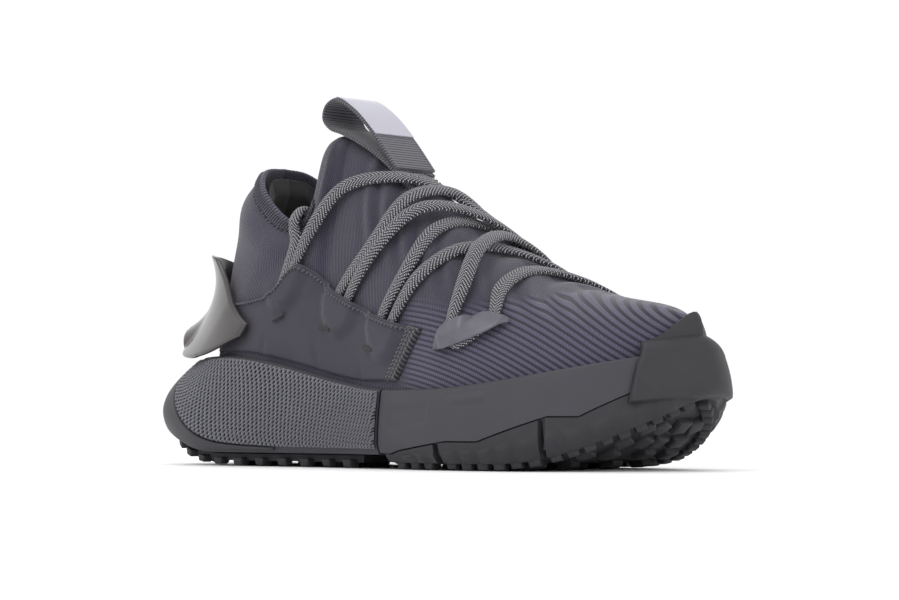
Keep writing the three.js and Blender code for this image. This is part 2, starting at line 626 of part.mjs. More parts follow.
// places of the ends along the sockliner, as shares of the length
const endOnLiner = [0.36, 0.45, 0.54, 0.63];
function freeEnd(outside, s, mirror) {
  const t = mirror > 0 ? turns - s : s;
  const stops = outside.map(onInstep);
  const rimNormal = new THREE.Vector3(0, 0, 1);
  stops.push([vec(form(t, 0.9, laceRest + 1.4)), outwards(t, 0.9), 0.9]);
  stops.push([vec(form(t, 0.96, laceRest + 2.6)), outwards(t, 0.96), 0.9]);
  stops.push([vec(form(t, 1, -1)).add(new THREE.Vector3(0, 0, laceThickness / 2 + 3.2)), rimNormal, 0.9]);
  for (const v of [0.94, 0.86, 0.75, 0.65, 0.55]) {
    stops.push([vec(form(t, v, insideWall(t, 0.75) - 0.8)), outwards(t, v).negate(), 0.9]);
  }
  endOnLiner.forEach((u, i) => {
    const y = mirror * soleWidth * mix(0.194, 0.117, i / 3);
    const above = laceThickness / 2 + 2 * clearance + (i === 0 ? 3 : 0.5);
    stops.push([vec([u * soleLength, y, linerTop(u) + above]), rimNormal, 0.9]);
  });
  return stops;
}
const firstEnd = freeEnd([[4.12, -0.52, laceRest, 0.6], [4, -0.36, laceRest, 0.85],
  [3.85, -0.18, laceRest, 1]], 3.75, -1);
const secondEnd = freeEnd([
  [6.95, 0.46, laceRest, 0.7], [6.6, 0.42, laceRest, 1], [6.1, 0.36, laceRest, 1],
  [5.4, 0.27, laceRest + 1, 1], [4.9, 0.22, laceRest + 2.5, 1], [4.3, 0.17, laceRest + 2.5, 1],
], 3.8, 1);
add("lace_end_lateral", "lace", cord(firstEnd, laceWidth, laceThickness));
add("lace_end_medial", "lace", cord(secondEnd, laceWidth, laceThickness));
for (const [name, stops] of [["lateral", firstEnd], ["medial", secondEnd]]) {
  const tip = stops[stops.length - 1][0].clone();
  const tail = endOnLiner[endOnLiner.length - 1] + agletLength / soleLength;
  const along = vec([tail * soleLength, tip.y,
    linerTop(tail) + agletRadius + 3 * clearance]).sub(tip).normalize();
  const aglet = new THREE.CylinderGeometry(agletRadius, agletRadius, agletLength, 10);
  aglet.applyQuaternion(new THREE.Quaternion().setFromUnitVectors(new THREE.Vector3(0, 1, 0), along));
  const middle = tip.clone().addScaledVector(along, agletLength / 2 + 2 * clearance);
  aglet.translate(middle.x, middle.y, middle.z);
  add(`aglet_${name}`, "aglet", positionsOnly(aglet));
}

// ---------------------------------------------------------------- pieces bonded over the knit
// The saddle and the film rise over the lace where it turns beneath their upper edges.
const lacePath = new THREE.CatmullRomCurve3([...firstEnd.slice(0, 2), ...laceStops.map(onInstep),
  ...secondEnd.slice(0, 2)].map((s) => s[0]));
const laceMarks = lacePath.getSpacedPoints(260);
const tunnelInner = 9; // the tunnel is at its full height within this distance of the lace
const tunnelOuter = 16; // and back on the knit at this distance
function tunnelRise(t, v) {
  const p = vec(form(t, v, laceRest));
  const near = Math.min(...laceMarks.map((mark) => mark.distanceTo(p)));
  return (laceRest + laceThickness / 2 + 2 * clearance - drape)
    * smooth((tunnelOuter - near) / (tunnelOuter - tunnelInner));
}
const overKnit = (base) => (t, v) => base + tunnelRise(t, v);
const fineGrid = { t: 0.25, v: 20 };

const outerSaddleTop = keyed([[2.8, 0.44], [4.35, 0.48], [5.5, 0.36], [5.85, 0.33], [6.8, 0.3],
  [7.4, 0.31]]);
const innerSaddleTop = keyed([[2.8, 0.44], [5, 0.42], [6.2, 0.46], [7.1, 0.51], [7.7, 0.53], [8.35, 0.55]]);
const onRim = (t) => levelAt(t, rim(share(t)) + 2);
const saddleEnds = [2.8, 7.2, 8.35]; // rear end, front end at the outer side, front end at the inner side
const edgeBand = 0.14; // width of the chain-knit band at the saddle's front, as outline parameter
function saddle(name, front, top, mirrored) {
  const low = (t) => onRim(mirrored ? turns - t : t);
  const offset = drape + quarterThickness;
  add(`saddle_${name}`, "quarter", patch(saddleEnds[0], front, low, (t) => top(t)[0], overKnit(offset),
    overKnit(drape), { ...fineGrid, mirrored }));
  const high = () => top(front)[0] - 0.02;
  add(`edge_band_${name}`, "web", patch(front + 0.02, front + 0.02 + edgeBand, low, high, offset, drape,
    { v: 24, mirrored }));
}
saddle("lateral", saddleEnds[1], outerSaddleTop, false);
saddle("medial", saddleEnds[2], innerSaddleTop, true);

const outerFilm = [[7.75, 0.24, 0.33], [8.05, 0.25, 0.355], [8.6, 0.34, 0.445], [8.9, 0.4, 0.45]];
const innerFilm = [[8.62, 0.45, 0.555], [8.8, 0.45, 0.58], [9.35, 0.52, 0.63], [9.6, 0.56, 0.62]];
for (const [name, keys, mirrored] of [["lateral", outerFilm, false], ["medial", innerFilm, true]]) {
  const edges = keyed(keys);
  const [from, to] = [keys[0][0], keys[keys.length - 1][0]];
  const [low, high] = [(t) => edges(t)[0], (t) => edges(t)[1]];
  const made = patch(from, to, low, high, overKnit(drape + filmThickness), overKnit(drape),
    { t: 0.1, v: 48, mirrored });
  add(`film_${name}`, "film", made);
}

// Bar-tacks across the saddle below its eyelets, as [outline parameter, share across the instep].
const tackSize = [7, 1.8, 0.8];
const tackGap = 0.0042 * soleLength; // between a flat bar-tack and the curved saddle
const outerTacks = [[4.5, -0.71], [5.6, -0.78], [6.5, -0.81]];
const innerTacks = [[6.8, 0.66], [7.45, 0.65], [8, 0.64]];
[...outerTacks, ...innerTacks].forEach(([s, q], i) => {
  const t = q < 0 ? s : turns - s;
  const v = 1 - Math.abs(q);
  const base = drape + quarterThickness + tackGap + tunnelRise(t, v);
  const normal = outwards(t, v);
  const along = vec(form(t + 0.1, v)).sub(vec(form(t - 0.1, v))).normalize();
  const tack = new THREE.BoxGeometry(...tackSize);
  const turned = new THREE.Matrix4().makeBasis(along, normal.clone().cross(along), normal);
  const at = vec(form(t, v, base)).addScaledVector(normal, tackSize[2] / 2);
  tack.applyMatrix4(turned.setPosition(at));
  add(`bar_tack_${i + 1}`, "webbing", positionsOnly(tack));
});

// ---------------------------------------------------------------- heel counter
const counterHigh = keyed([[0, 89], [1, 92], [1.8, 92], [2.4, 84], [3, 74], [3.5, 66], [3.8, 62]]);
const counterLow = keyed([[0, 60], [1, 57], [1.8, 51], [2.6, 49], [3.2, 50], [3.8, 56]]);
const waistHeight = 79;
const upperFlare = 9; // how far the upper wing stands off the heel
// and the lower wing, over the parameter
const lowerFlare = keyed([[0, 17], [1, 15], [2, 11], [3, 7], [3.8, 2]]);
const counterBase = drape + quarterThickness + 2 * clearance;
// from the heel
const apart = (t) => Math.min(((t % turns) + turns) % turns, turns - (((t % turns) + turns) % turns));
function counterOffset(t, v) {
  const z = form(t, v)[2];
  const reach = smooth(1.25 - apart(t) / 3.4);
  const drop = (waistHeight - z) / (waistHeight - counterLow(apart(t))[0]);
  const flare = z > waistHeight
    ? reach * upperFlare * ((z - waistHeight) / 19) ** 2
    : lowerFlare(apart(t))[0] * drop ** 2;
  return counterBase + 2.5 * reach + flare;
}
const counterOuter = (t, v) => counterOffset(t, v) + counterThickness;
const counterRange = (t) => [levelAt(t, counterLow(apart(t))[0]), levelAt(t, counterHigh(apart(t))[0])];
const counterEnd = 3.8;
add("heel_counter", "tpu", patch(
  -counterEnd, counterEnd, (t) => counterRange(t)[0], (t) => counterRange(t)[1], counterOuter,
    counterOffset, { v: 24 },
));
const badgeEnd = 0.4;
const badgeHeights = [70, 88];
add("heel_badge", "badge", patch(
  -badgeEnd, badgeEnd, (t) => levelAt(t, badgeHeights[0]), (t) => levelAt(t, badgeHeights[1]),
  (t, v) => counterOuter(t, v) + 2 * clearance + badgeThickness,
    (t, v) => counterOuter(t, v) + 2 * clearance, { v: 24 },
));

// ---------------------------------------------------------------- collar band
const bandEnd = 4.2;
add("collar_band", "web", patch(-bandEnd, bandEnd, flat(0.93), flat(0.985), drape + 0.9, drape));

// ---------------------------------------------------------------- toe rubber
// Follows the sole wall up to the rim, then crosses to the toe box and climbs it.
const toeWrapTop = 60;
function toeWrap(d) {
  const ts = stations(11.2, 13.2);
  const onWall = [0.66, 0.76, 0.86, 0.97].map((k) => ts.map((t) => wall(t, (u) => rim(u) * k, d)));
  const lipped = ts.map((t) => {
    const [x, y] = wall(t, (u) => rim(u), d);
    return [x, y, rim(share(t)) + d];
  });
  const onToe = [rimToe + 5, toeWrapTop].map((z) => ts.map((t) => form(t, levelAt(t, z), d)));
  return [...onWall, lipped, ...onToe];
}
add("toe_rubber", "rubber", slab(toeWrap(rubberThickness), toeWrap(3 * clearance)));

// ---------------------------------------------------------------- pull loop
// Centre line of the folded webbing seen from the side, in x and z from its root, with the fold at the
// far end.
const loopHinge = 6.64; // outline parameter of the loop's root on the ridge
const [rootX, , rootZ] = instep(loopHinge, 0, drape + webbingThickness / 2);
const loopSide = [
  [0, 0.6], [-12, 9.4], [-24, 16.2], [-34, 20.6], [-41, 23.2], [-44.5, 27.5], [-43, 32.8], [-37, 35.4],
  [-26, 29.8],
  [-13, 17.8], [0, 2.7],
];
function loopPoint(i, d) {
  const p = loopSide[i];
  const a = loopSide[Math.max(i - 1, 0)];
  const b = loopSide[Math.min(i + 1, loopSide.length - 1)];
  const long = Math.hypot(b[0] - a[0], b[1] - a[1]);
  const [nx, nz] = [-(b[1] - a[1]) / long, (b[0] - a[0]) / long];
  return [rootX + p[0] - nx * d, rootZ + p[1] - nz * d];
}
function loopBand(indices, outer, inner, width) {
  const grid = (d) => [-width / 2, width / 2].map((y) => indices.map((i) => {
    const [x, z] = loopPoint(i, d);
    return [x, y + loopShift, z];
  }));
  return slab(grid(inner), grid(outer));
}
const loopShift = 1; // the loop's centre plane in y
const half = webbingThickness / 2;
add("pull_loop", "webbing", loopBand(range(loopSide.length), half, -half, webbingWidth));
add("pull_loop_label", "label", loopBand([7, 8, 9], -half - clearance,
  -half - clearance - labelThickness, webbingWidth - 1));
const baseStops = [6.68, 6.82, 6.98];
const baseAcross = steps(-0.12, 0.12, 6);
const baseGrid = (d) => baseAcross.map((q) => baseStops.map((s) => instep(s, q, d)));
add("pull_loop_base", "webbing", slab(baseGrid(drape + 2), baseGrid(drape)));

// ---------------------------------------------------------------- place
const box = new THREE.Box3().setFromObject(shoe);
shoe.position.set(-(box.min.x + box.max.x) / 2, -(box.min.y + box.max.y) / 2, -box.min.z);

export default shoe;
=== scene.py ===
"""A right-foot knit running shoe, laid out as an add-on.

There is one operator for each group of pieces and one for the stage.
"""
import math

import bmesh
import bpy
import numpy as np
from bpy.props import FloatProperty, IntProperty, PointerProperty
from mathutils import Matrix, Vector


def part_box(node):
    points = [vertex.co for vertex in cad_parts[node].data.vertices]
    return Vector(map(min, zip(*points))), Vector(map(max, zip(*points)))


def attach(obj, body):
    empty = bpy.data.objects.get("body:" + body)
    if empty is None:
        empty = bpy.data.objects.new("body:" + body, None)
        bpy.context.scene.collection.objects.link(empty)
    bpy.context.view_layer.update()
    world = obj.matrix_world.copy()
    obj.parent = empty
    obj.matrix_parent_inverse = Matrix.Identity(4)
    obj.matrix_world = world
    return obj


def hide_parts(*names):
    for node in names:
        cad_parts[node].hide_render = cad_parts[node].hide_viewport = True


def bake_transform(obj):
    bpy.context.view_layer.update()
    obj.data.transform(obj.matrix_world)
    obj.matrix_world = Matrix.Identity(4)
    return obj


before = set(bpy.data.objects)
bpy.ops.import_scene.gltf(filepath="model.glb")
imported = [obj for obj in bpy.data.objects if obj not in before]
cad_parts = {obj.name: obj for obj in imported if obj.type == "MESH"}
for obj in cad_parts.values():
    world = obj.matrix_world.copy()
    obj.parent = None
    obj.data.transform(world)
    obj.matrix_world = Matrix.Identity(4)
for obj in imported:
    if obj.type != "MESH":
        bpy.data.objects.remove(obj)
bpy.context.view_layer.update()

bl_info = {
    "name": "Knit running shoe",
    "version": (1, 0, 0),
    "blender": (4, 5, 0),
    "location": "View3D > Sidebar > Shoe",
    "description": "Builds a knit running shoe over its CAD frame",
    "category": "Object",
}

MM = 0.001
CLEARANCE = 0.3  # gap kept between touching pieces, in mm


def millimetres(name, description, default):
    return FloatProperty(name=name, description=description, default=default, unit="NONE")


class ShoeSizes(bpy.types.PropertyGroup):
    """Driving sizes of the shoe, in millimetres. They match the CAD part's own."""

    sole_length: millimetres("Sole length", "Heel to toe, mm", 291)
    sole_width: millimetres("Sole width", "Across the ball, mm", 103)
    rim_heel: millimetres("Rim at the heel", "Height of the sole's rim, mm", 48.5)
    rim_ball: millimetres("Rim at the ball", "Height of the sole's rim, mm", 33)
    rim_toe: millimetres("Rim at the toe", "Height of the sole's rim, mm", 49)
    rim_thickness: millimetres("Rim thickness", "Of the sole's wall, mm", 4)
    heel_bevel: millimetres("Heel bevel", "Rise of the heel's edge, mm", 20)
    toe_spring: millimetres("Toe spring", "Rise of the toe's tip, mm", 26)
    footbed_heel: millimetres("Footbed at the heel", "Height, mm", 34)
    footbed_ball: millimetres("Footbed at the ball", "Height, mm", 23.5)
    footbed_toe_rise: millimetres("Footbed rise at the toe", "Height, mm", 8)
    bottom_tuck: millimetres("Bottom tuck", "How far the bottom edge lies inside the widest line, mm", 7)
    collar_top: millimetres("Collar top", "Height behind the heel, mm", 134)
    collar_dip: millimetres("Collar dip", "Height beside the ankle, mm", 107)
    tongue_top: millimetres("Tongue top", "Height, mm", 146)
    instep_height: millimetres("Instep height", "Height above the arch, mm", 118)
    toe_box_height: millimetres("Toe box height", "Height, mm", 64)
    knit_thickness: millimetres("Knit thickness", "mm", 2)
    lug_depth: millimetres("Lug depth", "mm", 2.4)
    rubber_thickness: millimetres("Rubber thickness", "mm", 3)
    lace_width: millimetres("Lace width", "mm", 6.6)
    lace_thickness: millimetres("Lace thickness", "mm", 3)
    webbing_width: millimetres("Webbing width", "Of the pull loop, mm", 25)
    webbing_thickness: millimetres("Webbing thickness", "mm", 1.3)
    net_pitch: millimetres("Net pitch", "Width of a cell of the sole's net at the heel, mm", 3.1)
    rib_pitch: millimetres("Rib pitch", "Spacing of the ribs in the vamp's knit, mm", 2.1)
    seed: IntProperty(name="Seed", description="Of every random choice", default=7)


def sizes():
    return bpy.context.scene.shoe_sizes


# ------------------------------------------------------------------ small maths
def mix(a, b, s):
    return a + (b - a) * s


def smooth(x):
    x = np.clip(x, 0, 1)
    return x * x * (3 - 2 * x)


def unit(v):
    return v / np.maximum(np.linalg.norm(v, axis=-1, keepdims=True), 1e-9)


class Keyed:
    """Cubic through keys of [position, value, value...], with slopes taken from the neighbouring keys."""

    def __init__(self, keys):
        keys = np.array(keys, float)
        self.at, self.values = keys[:, 0], keys[:, 1:]
        last = len(keys) - 1
        before = np.maximum(np.arange(len(keys)) - 1, 0)
        after = np.minimum(np.arange(len(keys)) + 1, last)
        span = (self.at[after] - self.at[before])[:, None]
        self.slopes = (self.values[after] - self.values[before]) / span

    def __call__(self, x):
        x = np.clip(np.asarray(x, float), self.at[0], self.at[-1])
        i = np.clip(np.searchsorted(self.at, x), 1, len(self.at) - 1)
        h = self.at[i] - self.at[i - 1]
        s = ((x - self.at[i - 1]) / h)[..., None]
        h = h[..., None]
        low = self.values[i - 1] * (2 * s**3 - 3 * s**2 + 1) + self.slopes[i - 1] * h * (s**3 - 2 * s**2 + s)
        return low + self.values[i] * (3 * s**2 - 2 * s**3) + self.slopes[i] * h * (s**3 - s**2)


# ------------------------------------------------------------------ sole lines, as in the CAD part
OUTLINE = np.array([
    [0.006, 0], [0.016, -0.185], [0.059, -0.33], [0.145, -0.413], [0.248, -0.417], [0.358, -0.403],
    [0.468, -0.413], [0.58, -0.456], [0.687, -0.485], [0.793, -0.447], [0.886, -0.32], [0.957, -0.117],
    [1, 0.117], [0.961, 0.34], [0.883, 0.476], [0.79, 0.515], [0.684, 0.485], [0.57, 0.417],
    [0.454, 0.359], [0.344, 0.35], [0.234, 0.374], [0.131, 0.383], [0.052, 0.311], [0.01, 0.175],
])
TURNS = len(OUTLINE)
TOE = TURNS / 2
STATION = 0.5  # step of the CAD part's shared cross-sections, as outline parameter
TONGUE_AT = 5.5


def outline(t):
    t = np.mod(np.asarray(t, float), TURNS)
    i = np.floor(t).astype(int)
    s = (t - i)[..., None]
    a, b, c, d = (OUTLINE[(i + k) % TURNS] for k in (-1, 0, 1, 2))
    cubic = 2 * b + (c - a) * s + (2 * a - 5 * b + 4 * c - d) * s**2 + (3 * b - a - 3 * c + d) * s**3
    return 0.5 * cubic * [sizes().sole_length, sizes().sole_width]


def outline_offset(t, d):
    along = unit(outline(np.asarray(t) + 0.02) - outline(np.asarray(t) - 0.02))
    out = np.stack([along[..., 1], -along[..., 0]], -1)
    return outline(t) + out * np.asarray(d, float)[..., None]


def share(t):
    return outline(t)[..., 0] / sizes().sole_length


def rim(u):
    z = sizes()
    climb = (z.rim_toe - z.rim_ball) * np.clip((u - 0.66) / 0.34, 0, 1) ** 1.6
    return mix(z.rim_heel, z.rim_ball, smooth((u - 0.2) / 0.38)) + climb


def ground(u):
    heel = sizes().heel_bevel * np.clip(1 - u / 0.2, 0, 1) ** 2.2
    return heel + sizes().toe_spring * np.clip((u - 0.76) / 0.24, 0, 1) ** 2.3


def footbed(u):
    z = sizes()
    rise = z.footbed_toe_rise * np.clip((u - 0.72) / 0.28, 0, 1) ** 2
    return mix(z.footbed_heel, z.footbed_ball, smooth((u - 0.3) / 0.38)) + rise


def foot_inset(u):
    return mix(24, 6.2, smooth(u / 0.3)) + 2 * smooth((u - 0.9) / 0.1)


def rim_inset(u):
    return foot_inset(u) - sizes().rim_thickness - 0.3


def with_height(plan, z):
    return np.concatenate([plan, np.broadcast_to(z, plan.shape[:-1])[..., None]], -1)


def wall(t, z, d=0.0):
    """A point on the sole's wall at height z, moved outwards by d."""
    u = share(t)
    w = np.clip((z - ground(u)) / (rim(u) - ground(u)), 0, 1)
    low = sizes().bottom_tuck * np.clip(1 - w / 0.35, 0, 1) ** 2
    high = rim_inset(u) * (np.clip(w - 0.35, 0, 1) / 0.65) ** 1.8
    return with_height(outline_offset(t, d - np.where(w < 0.35, low, high)), z)


# ------------------------------------------------------------------ foot form, as in the CAD part
def collar_edge(t):
    z = sizes()
    return Keyed([
        [0, 0.193, 0, z.collar_top], [1, 0.203, -14, z.collar_top - 2], [2, 0.238, -24, z.collar_top - 12],
        [3, 0.291, -27, z.collar_dip + 3], [3.6, 0.324, -26, z.collar_dip], [4.1, 0.344, -24,
            z.collar_dip + 7],
        [4.6, 0.352, -19, z.tongue_top - 10], [5.1, 0.354, -11, z.tongue_top - 2], [5.5, 0.355, 0,
            z.tongue_top],
    ])(t)


def ridge(t):
    z = sizes()
    toe, high = z.toe_box_height, z.instep_height
    return Keyed([
        [5.5, 0.355, 0, z.tongue_top], [6, 0.416, 1, z.tongue_top - 9.5], [7, 0.507, 2, high],
        [8, 0.607, 4, high - 21], [9, 0.71, 7, 81], [10, 0.817, 10, toe + 8], [11, 0.908, 12, toe + 3],
        [12, 0.961, 12, toe - 2],
    ])(t)


RISE = Keyed([
    [0, 5, 0, 42], [2, 3, 1, 34], [4, 0, 0, 30], [6, 0, 0, 34], [8, 0, 0, 32], [10, -1, 1, 24], [12, -1, 0,
        20],
])
FALL = Keyed([
    [0, -13, 0, -20], [1, -12, -6, -20], [2, -10, -8, -20], [3, -8, -9, -20], [3.6, 2, -8, -18], [4.3, 16,
        -10, -20],
    [5, 15, -18, -10], [5.5, 13, -24, -4], [6, 6, -28, -1], [7, 2, -30, 0], [8, 4, -32, 0], [10, 6, -24, 0],
    [11, 6, -16, 0], [12, 5, 0, -2],
])


def form_point(t, v):
    """A point on the foot form: v is 0 at the footbed and 1 at the collar's edge or the ridge."""
    t, v = np.broadcast_arrays(np.mod(np.asarray(t, float), TURNS), np.asarray(v, float))
    inner = t > TOE
    s = np.where(inner, TURNS - t, t)
    flip = np.where(inner, -1.0, 1.0)
    u = share(t)
    start = with_height(outline_offset(t, -foot_inset(u)), footbed(u) + 0.3)
    edge, top = collar_edge(s), ridge(s)
    before = (s < TONGUE_AT)[..., None]
    crest = np.where(before, edge, top)
    crest = crest * np.stack([np.full(s.shape, sizes().sole_length), np.where(before[..., 0], flip, 1),
        np.ones(s.shape)], -1)
    turn = np.stack([np.ones(s.shape), flip, np.ones(s.shape)], -1)
    up, down = RISE(s) * turn, FALL(s) * turn
    v = v[..., None]
    low = start * (1 - v) ** 3 + (start + up) * 3 * v * (1 - v) ** 2
    return low + (crest + down) * 3 * v**2 * (1 - v) + crest * v**3


def form_normal(t, v):
    e = 0.02
    t, v = np.broadcast_arrays(np.asarray(t, float), np.asarray(v, float))
    along = form_point(t + e, v) - form_point(t - e, v)
    up = form_point(t, np.minimum(v + e, 1)) - form_point(t, np.maximum(v - e, 0))
    normal = unit(np.cross(along, up))
    s = np.where(np.mod(t, TURNS) > TOE, TURNS - np.mod(t, TURNS), np.mod(t, TURNS))
    a, b = ridge(np.minimum(s + e, TOE)), ridge(np.maximum(s - e, TONGUE_AT))
    top = unit(np.stack([b[..., 2] - a[..., 2], 0 * s, (a[..., 0] - b[..., 0]) * sizes().sole_length], -1))
    share_ridge = (smooth((v - 0.9) / 0.1) * (s > TONGUE_AT - 0.01))[..., None]
    return unit(mix(normal, top, share_ridge))


def form(t, v, d=0.0):
    return form_point(t, v) + form_normal(t, v) * np.asarray(d, float)[..., None]


def level_at(t, z):
    """Where on the foot form's side line at t the height is z."""
    t = np.asarray(t, float)
    low, high = np.zeros(t.shape), np.ones(t.shape)
    for _ in range(22):
        middle = (low + high) / 2
        below = form_point(t, middle)[..., 2] < z
        low, high = np.where(below, middle, low), np.where(below, high, middle)
    return (low + high) / 2


def instep(s, q, d=0.0):
    """q runs from -1 at the outer footbed over 0 at the ridge to 1 at the inner footbed."""
    s, q = np.broadcast_arrays(np.asarray(s, float), np.asarray(q, float))
    return form(np.where(q < 0, s, TURNS - s), 1 - np.abs(q), d)


def board_line():
    """The insole board's outline and height at the CAD part's shared cross-sections."""
    t = np.arange(0, TURNS, STATION)
    plan = outline_offset(t, -foot_inset(share(t)) - sizes().knit_thickness - 3 * CLEARANCE)
    return with_height(plan, footbed(share(t)) + CLEARANCE)


def frame_shift():
    """The move from the formulas' origin to the CAD frame: the insole board has the same outline in both."""
    line = board_line()
    low, high = (np.array(corner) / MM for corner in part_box("strobel_board"))
    plan = (low + high)[:2] / 2 - (line.min(0) + line.max(0))[:2] / 2
    return np.array([plan[0], plan[1], low[2] - line[:, 2].min()])


def to_frame(points):
    return (np.asarray(points, float) + frame_shift()) * MM


# ------------------------------------------------------------------ meshes
def new_object(name, co, faces, uv=None):
    """A mesh object from points in metres in the CAD frame. uv is one pair per vertex, in millimetres."""
    mesh = bpy.data.meshes.new(name)
    mesh.from_pydata([tuple(p) for p in co], [], [tuple(int(i) for i in f) for f in faces])
    if uv is not None:
        loops = np.zeros(len(mesh.loops), int)
        mesh.loops.foreach_get("vertex_index", loops)
        layer = mesh.uv_layers.new(name="Millimetres")
        layer.data.foreach_set("uv", np.asarray(uv, float)[loops].ravel())
    mesh.shade_smooth()
    obj = bpy.data.objects.new(name, mesh)
    bpy.context.scene.collection.objects.link(obj)
    return obj


def give_attribute(obj, name, values):
    layer = obj.data.attributes.new(name, "FLOAT", "POINT")
    layer.data.foreach_set("value", np.asarray(values, np.float32).ravel())


def finish(obj, material_name, nodes=(), body="shoe"):
    """Gives obj its material and its body, and hides the CAD nodes it stands for."""
    obj.data.materials.clear()
    obj.data.materials.append(made_material(material_name))
    if body:
        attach(obj, body)
    if nodes:
        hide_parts(*nodes)
    return obj


def welded(obj, distance=1e-6, sharp=None):
    """Joins the vertices of obj that lie on each other and turns its faces outwards."""
    mesh = bmesh.new()
    mesh.from_mesh(obj.data)
    bmesh.ops.remove_doubles(mesh, verts=mesh.verts, dist=distance)
    bmesh.ops.dissolve_degenerate(mesh, dist=distance, edges=mesh.edges)
    bmesh.ops.recalc_face_normals(mesh, faces=mesh.faces)
    mesh.to_mesh(obj.data)
    mesh.free()
    obj.data.shade_smooth()
    if sharp:
        obj.data.set_sharp_from_angle(angle=math.radians(sharp))
    return obj


def joined(parts, name):
    """One object from several."""
    with bpy.context.temp_override(active_object=parts[0], selected_editable_objects=parts):
        bpy.ops.object.join()
    parts[0].name = name
    return parts[0]


def running(points, axis, anchor):
    """Length in millimetres along one direction of a grid, counted from the anchor row or column."""
    lead = np.zeros_like(points.take([0], axis))[..., 0]
    run = np.concatenate([lead, np.cumsum(np.linalg.norm(np.diff(points, axis=axis), axis=-1), axis)], axis)
    return run - run.take([anchor], axis)


def grid_uv(points, row=None, column=None):
    row = points.shape[0] // 2 if row is None else row
    column = points.shape[1] // 2 if column is None else column
    return np.stack([running(points, 1, column), running(points, 0, row)], -1)


def grid_faces(rows, columns, start=0, wrap=False):
    r, c = np.meshgrid(np.arange(rows - 1), np.arange(columns - (0 if wrap else 1)), indexing="ij")
    a, b = (r * columns + c).ravel(), (r * columns + (c + 1) % columns).ravel()
    return np.stack([a, b, b + columns, a + columns], -1) + start


def slab(name, outer, inner, uv=None, sharp=40):
    """A closed slab between two grids of points in millimetres."""
    rows, columns = outer.shape[:2]
    n = rows * columns
    ring = np.r_[np.arange(columns), columns * np.arange(1, rows) + columns - 1,
                 n - 2 - np.arange(columns - 1), columns * np.arange(rows - 2, -1, -1)]
    a, b = ring[:-1], ring[1:]
    faces = [grid_faces(rows, columns), grid_faces(rows, columns, n)[:, ::-1],
        np.stack([a, a + n, b + n, b], -1)]
    uv = grid_uv(outer) if uv is None else uv
    co = to_frame(np.concatenate([outer.reshape(-1, 3), inner.reshape(-1, 3)]))
    obj = new_object(name, co, np.concatenate(faces), np.concatenate([uv.reshape(-1, 2)] * 2))
    return welded(obj, sharp=sharp)


def ring_body(name, rings, sharp=35):
    """A closed body through rings of points, its ends closed across."""
    rows, columns = rings.shape[:2]
    run = running(rings, 0, 0)
    around = running(rings, 1, 0)
    centres = rings[[0, -1]].mean(1)
    n = rows * columns
    i = np.arange(columns)
    first = np.stack([np.full(columns, n), (i + 1) % columns, i], -1)
    last = np.stack([np.full(columns, n + 1), n - columns + i, n - columns + (i + 1) % columns], -1)
    co = to_frame(np.concatenate([rings.reshape(-1, 3), centres]))
    uv = np.stack([run, around], -1).reshape(-1, 2)
    faces = [*grid_faces(rows, columns, wrap=True), *first, *last]
    obj = new_object(name, co, faces, np.concatenate([uv, uv[[0, -1]]]))
    return welded(obj, sharp=sharp)


def rounded_edge(t_run, v_run, radius):
    """How full a sheet stands at each point of its grid: 1 inside, falling off within radius of its edges."""
    near_t = np.minimum(t_run - t_run.min(1, keepdims=True), t_run.max(1, keepdims=True) - t_run)
    near_v = np.minimum(v_run - v_run.min(0, keepdims=True), v_run.max(0, keepdims=True) - v_run)
    near = np.clip(np.minimum(near_t, near_v) / radius, 0, 1)
    return np.sqrt(np.clip(1 - (1 - near) ** 2, 0, 1))


def edge_spread(count, edge, share_of_edge=0.5):
    """Values from 0 to 1 that lie closer together near both ends."""
    near = np.linspace(0, 1, edge + 1)[1:] ** 2
    near = near * share_of_edge / count
    inside = np.linspace(near[-1], 1 - near[-1], count)
    return np.unique(np.round(np.r_[0, near, inside, 1 - near[::-1], 1], 9))


def patch(name, ts, low, high, rows, base, thickness, mirrored=False, relief=None, radius=0.8, sharp=60,
    lean=None):
    """A sheet on the foot form between two heights on it, with its edges rounded down.
    base gives the offset of its inner face from the form, relief adds to its outer face, and lean shifts its
    columns along the form by their place along and across the piece."""
    across = edge_spread(rows, 3)[:, None]
    ts = mix(ts[0], ts[-1], edge_spread(len(ts), 3))
    along = (ts - ts[0]) / (ts[-1] - ts[0])
    leaning = ts[None] + (lean(along[None], across) if lean else 0 * across)
    t = TURNS - leaning if mirrored else leaning
    v = mix(low(TURNS - ts if mirrored else ts)[None], high(ts)[None], across)
    inside = base(t, v)
    line = form(t, v, inside)
    uv = grid_uv(line)
    full = rounded_edge(uv[..., 0], uv[..., 1], radius)
    lift = thickness * mix(0.2, 1, full)
    if relief:
        lift = lift + relief(t, v, uv) * full
    return slab(name, form(t, v, inside + lift), line, uv, sharp)


def constant(value):
    return lambda t, v=None: np.full(np.shape(t), float(value))


# ------------------------------------------------------------------ cords
def centripetal(points, count):
    """Points on a centripetal curve through the given stops, with an equal number between each two."""
    p = np.array(points, float)
    p = np.vstack([2 * p[0] - p[1], p, 2 * p[-1] - p[-2]])
    x = np.linspace(0, len(p) - 3 - 1e-9, count)
    i = np.floor(x).astype(int)
    s = (x - i)[:, None]
    a, b, c, d = p[i], p[i + 1], p[i + 2], p[i + 3]
    ta, tb, tc = (np.maximum(np.linalg.norm(n - m, axis=1), 1e-6)[:, None] ** 0.5 for m,
        n in ((a, b), (b, c), (c, d)))
    start = ((b - a) / ta - (c - a) / (ta + tb) + (c - b) / tb) * tb
    end = ((c - b) / tb - (d - b) / (tb + tc) + (d - c) / tc) * tb
    return b + start * s + (3 * (c - b) - 2 * start - end) * s**2 + (2 * (b - c) + start + end) * s**3


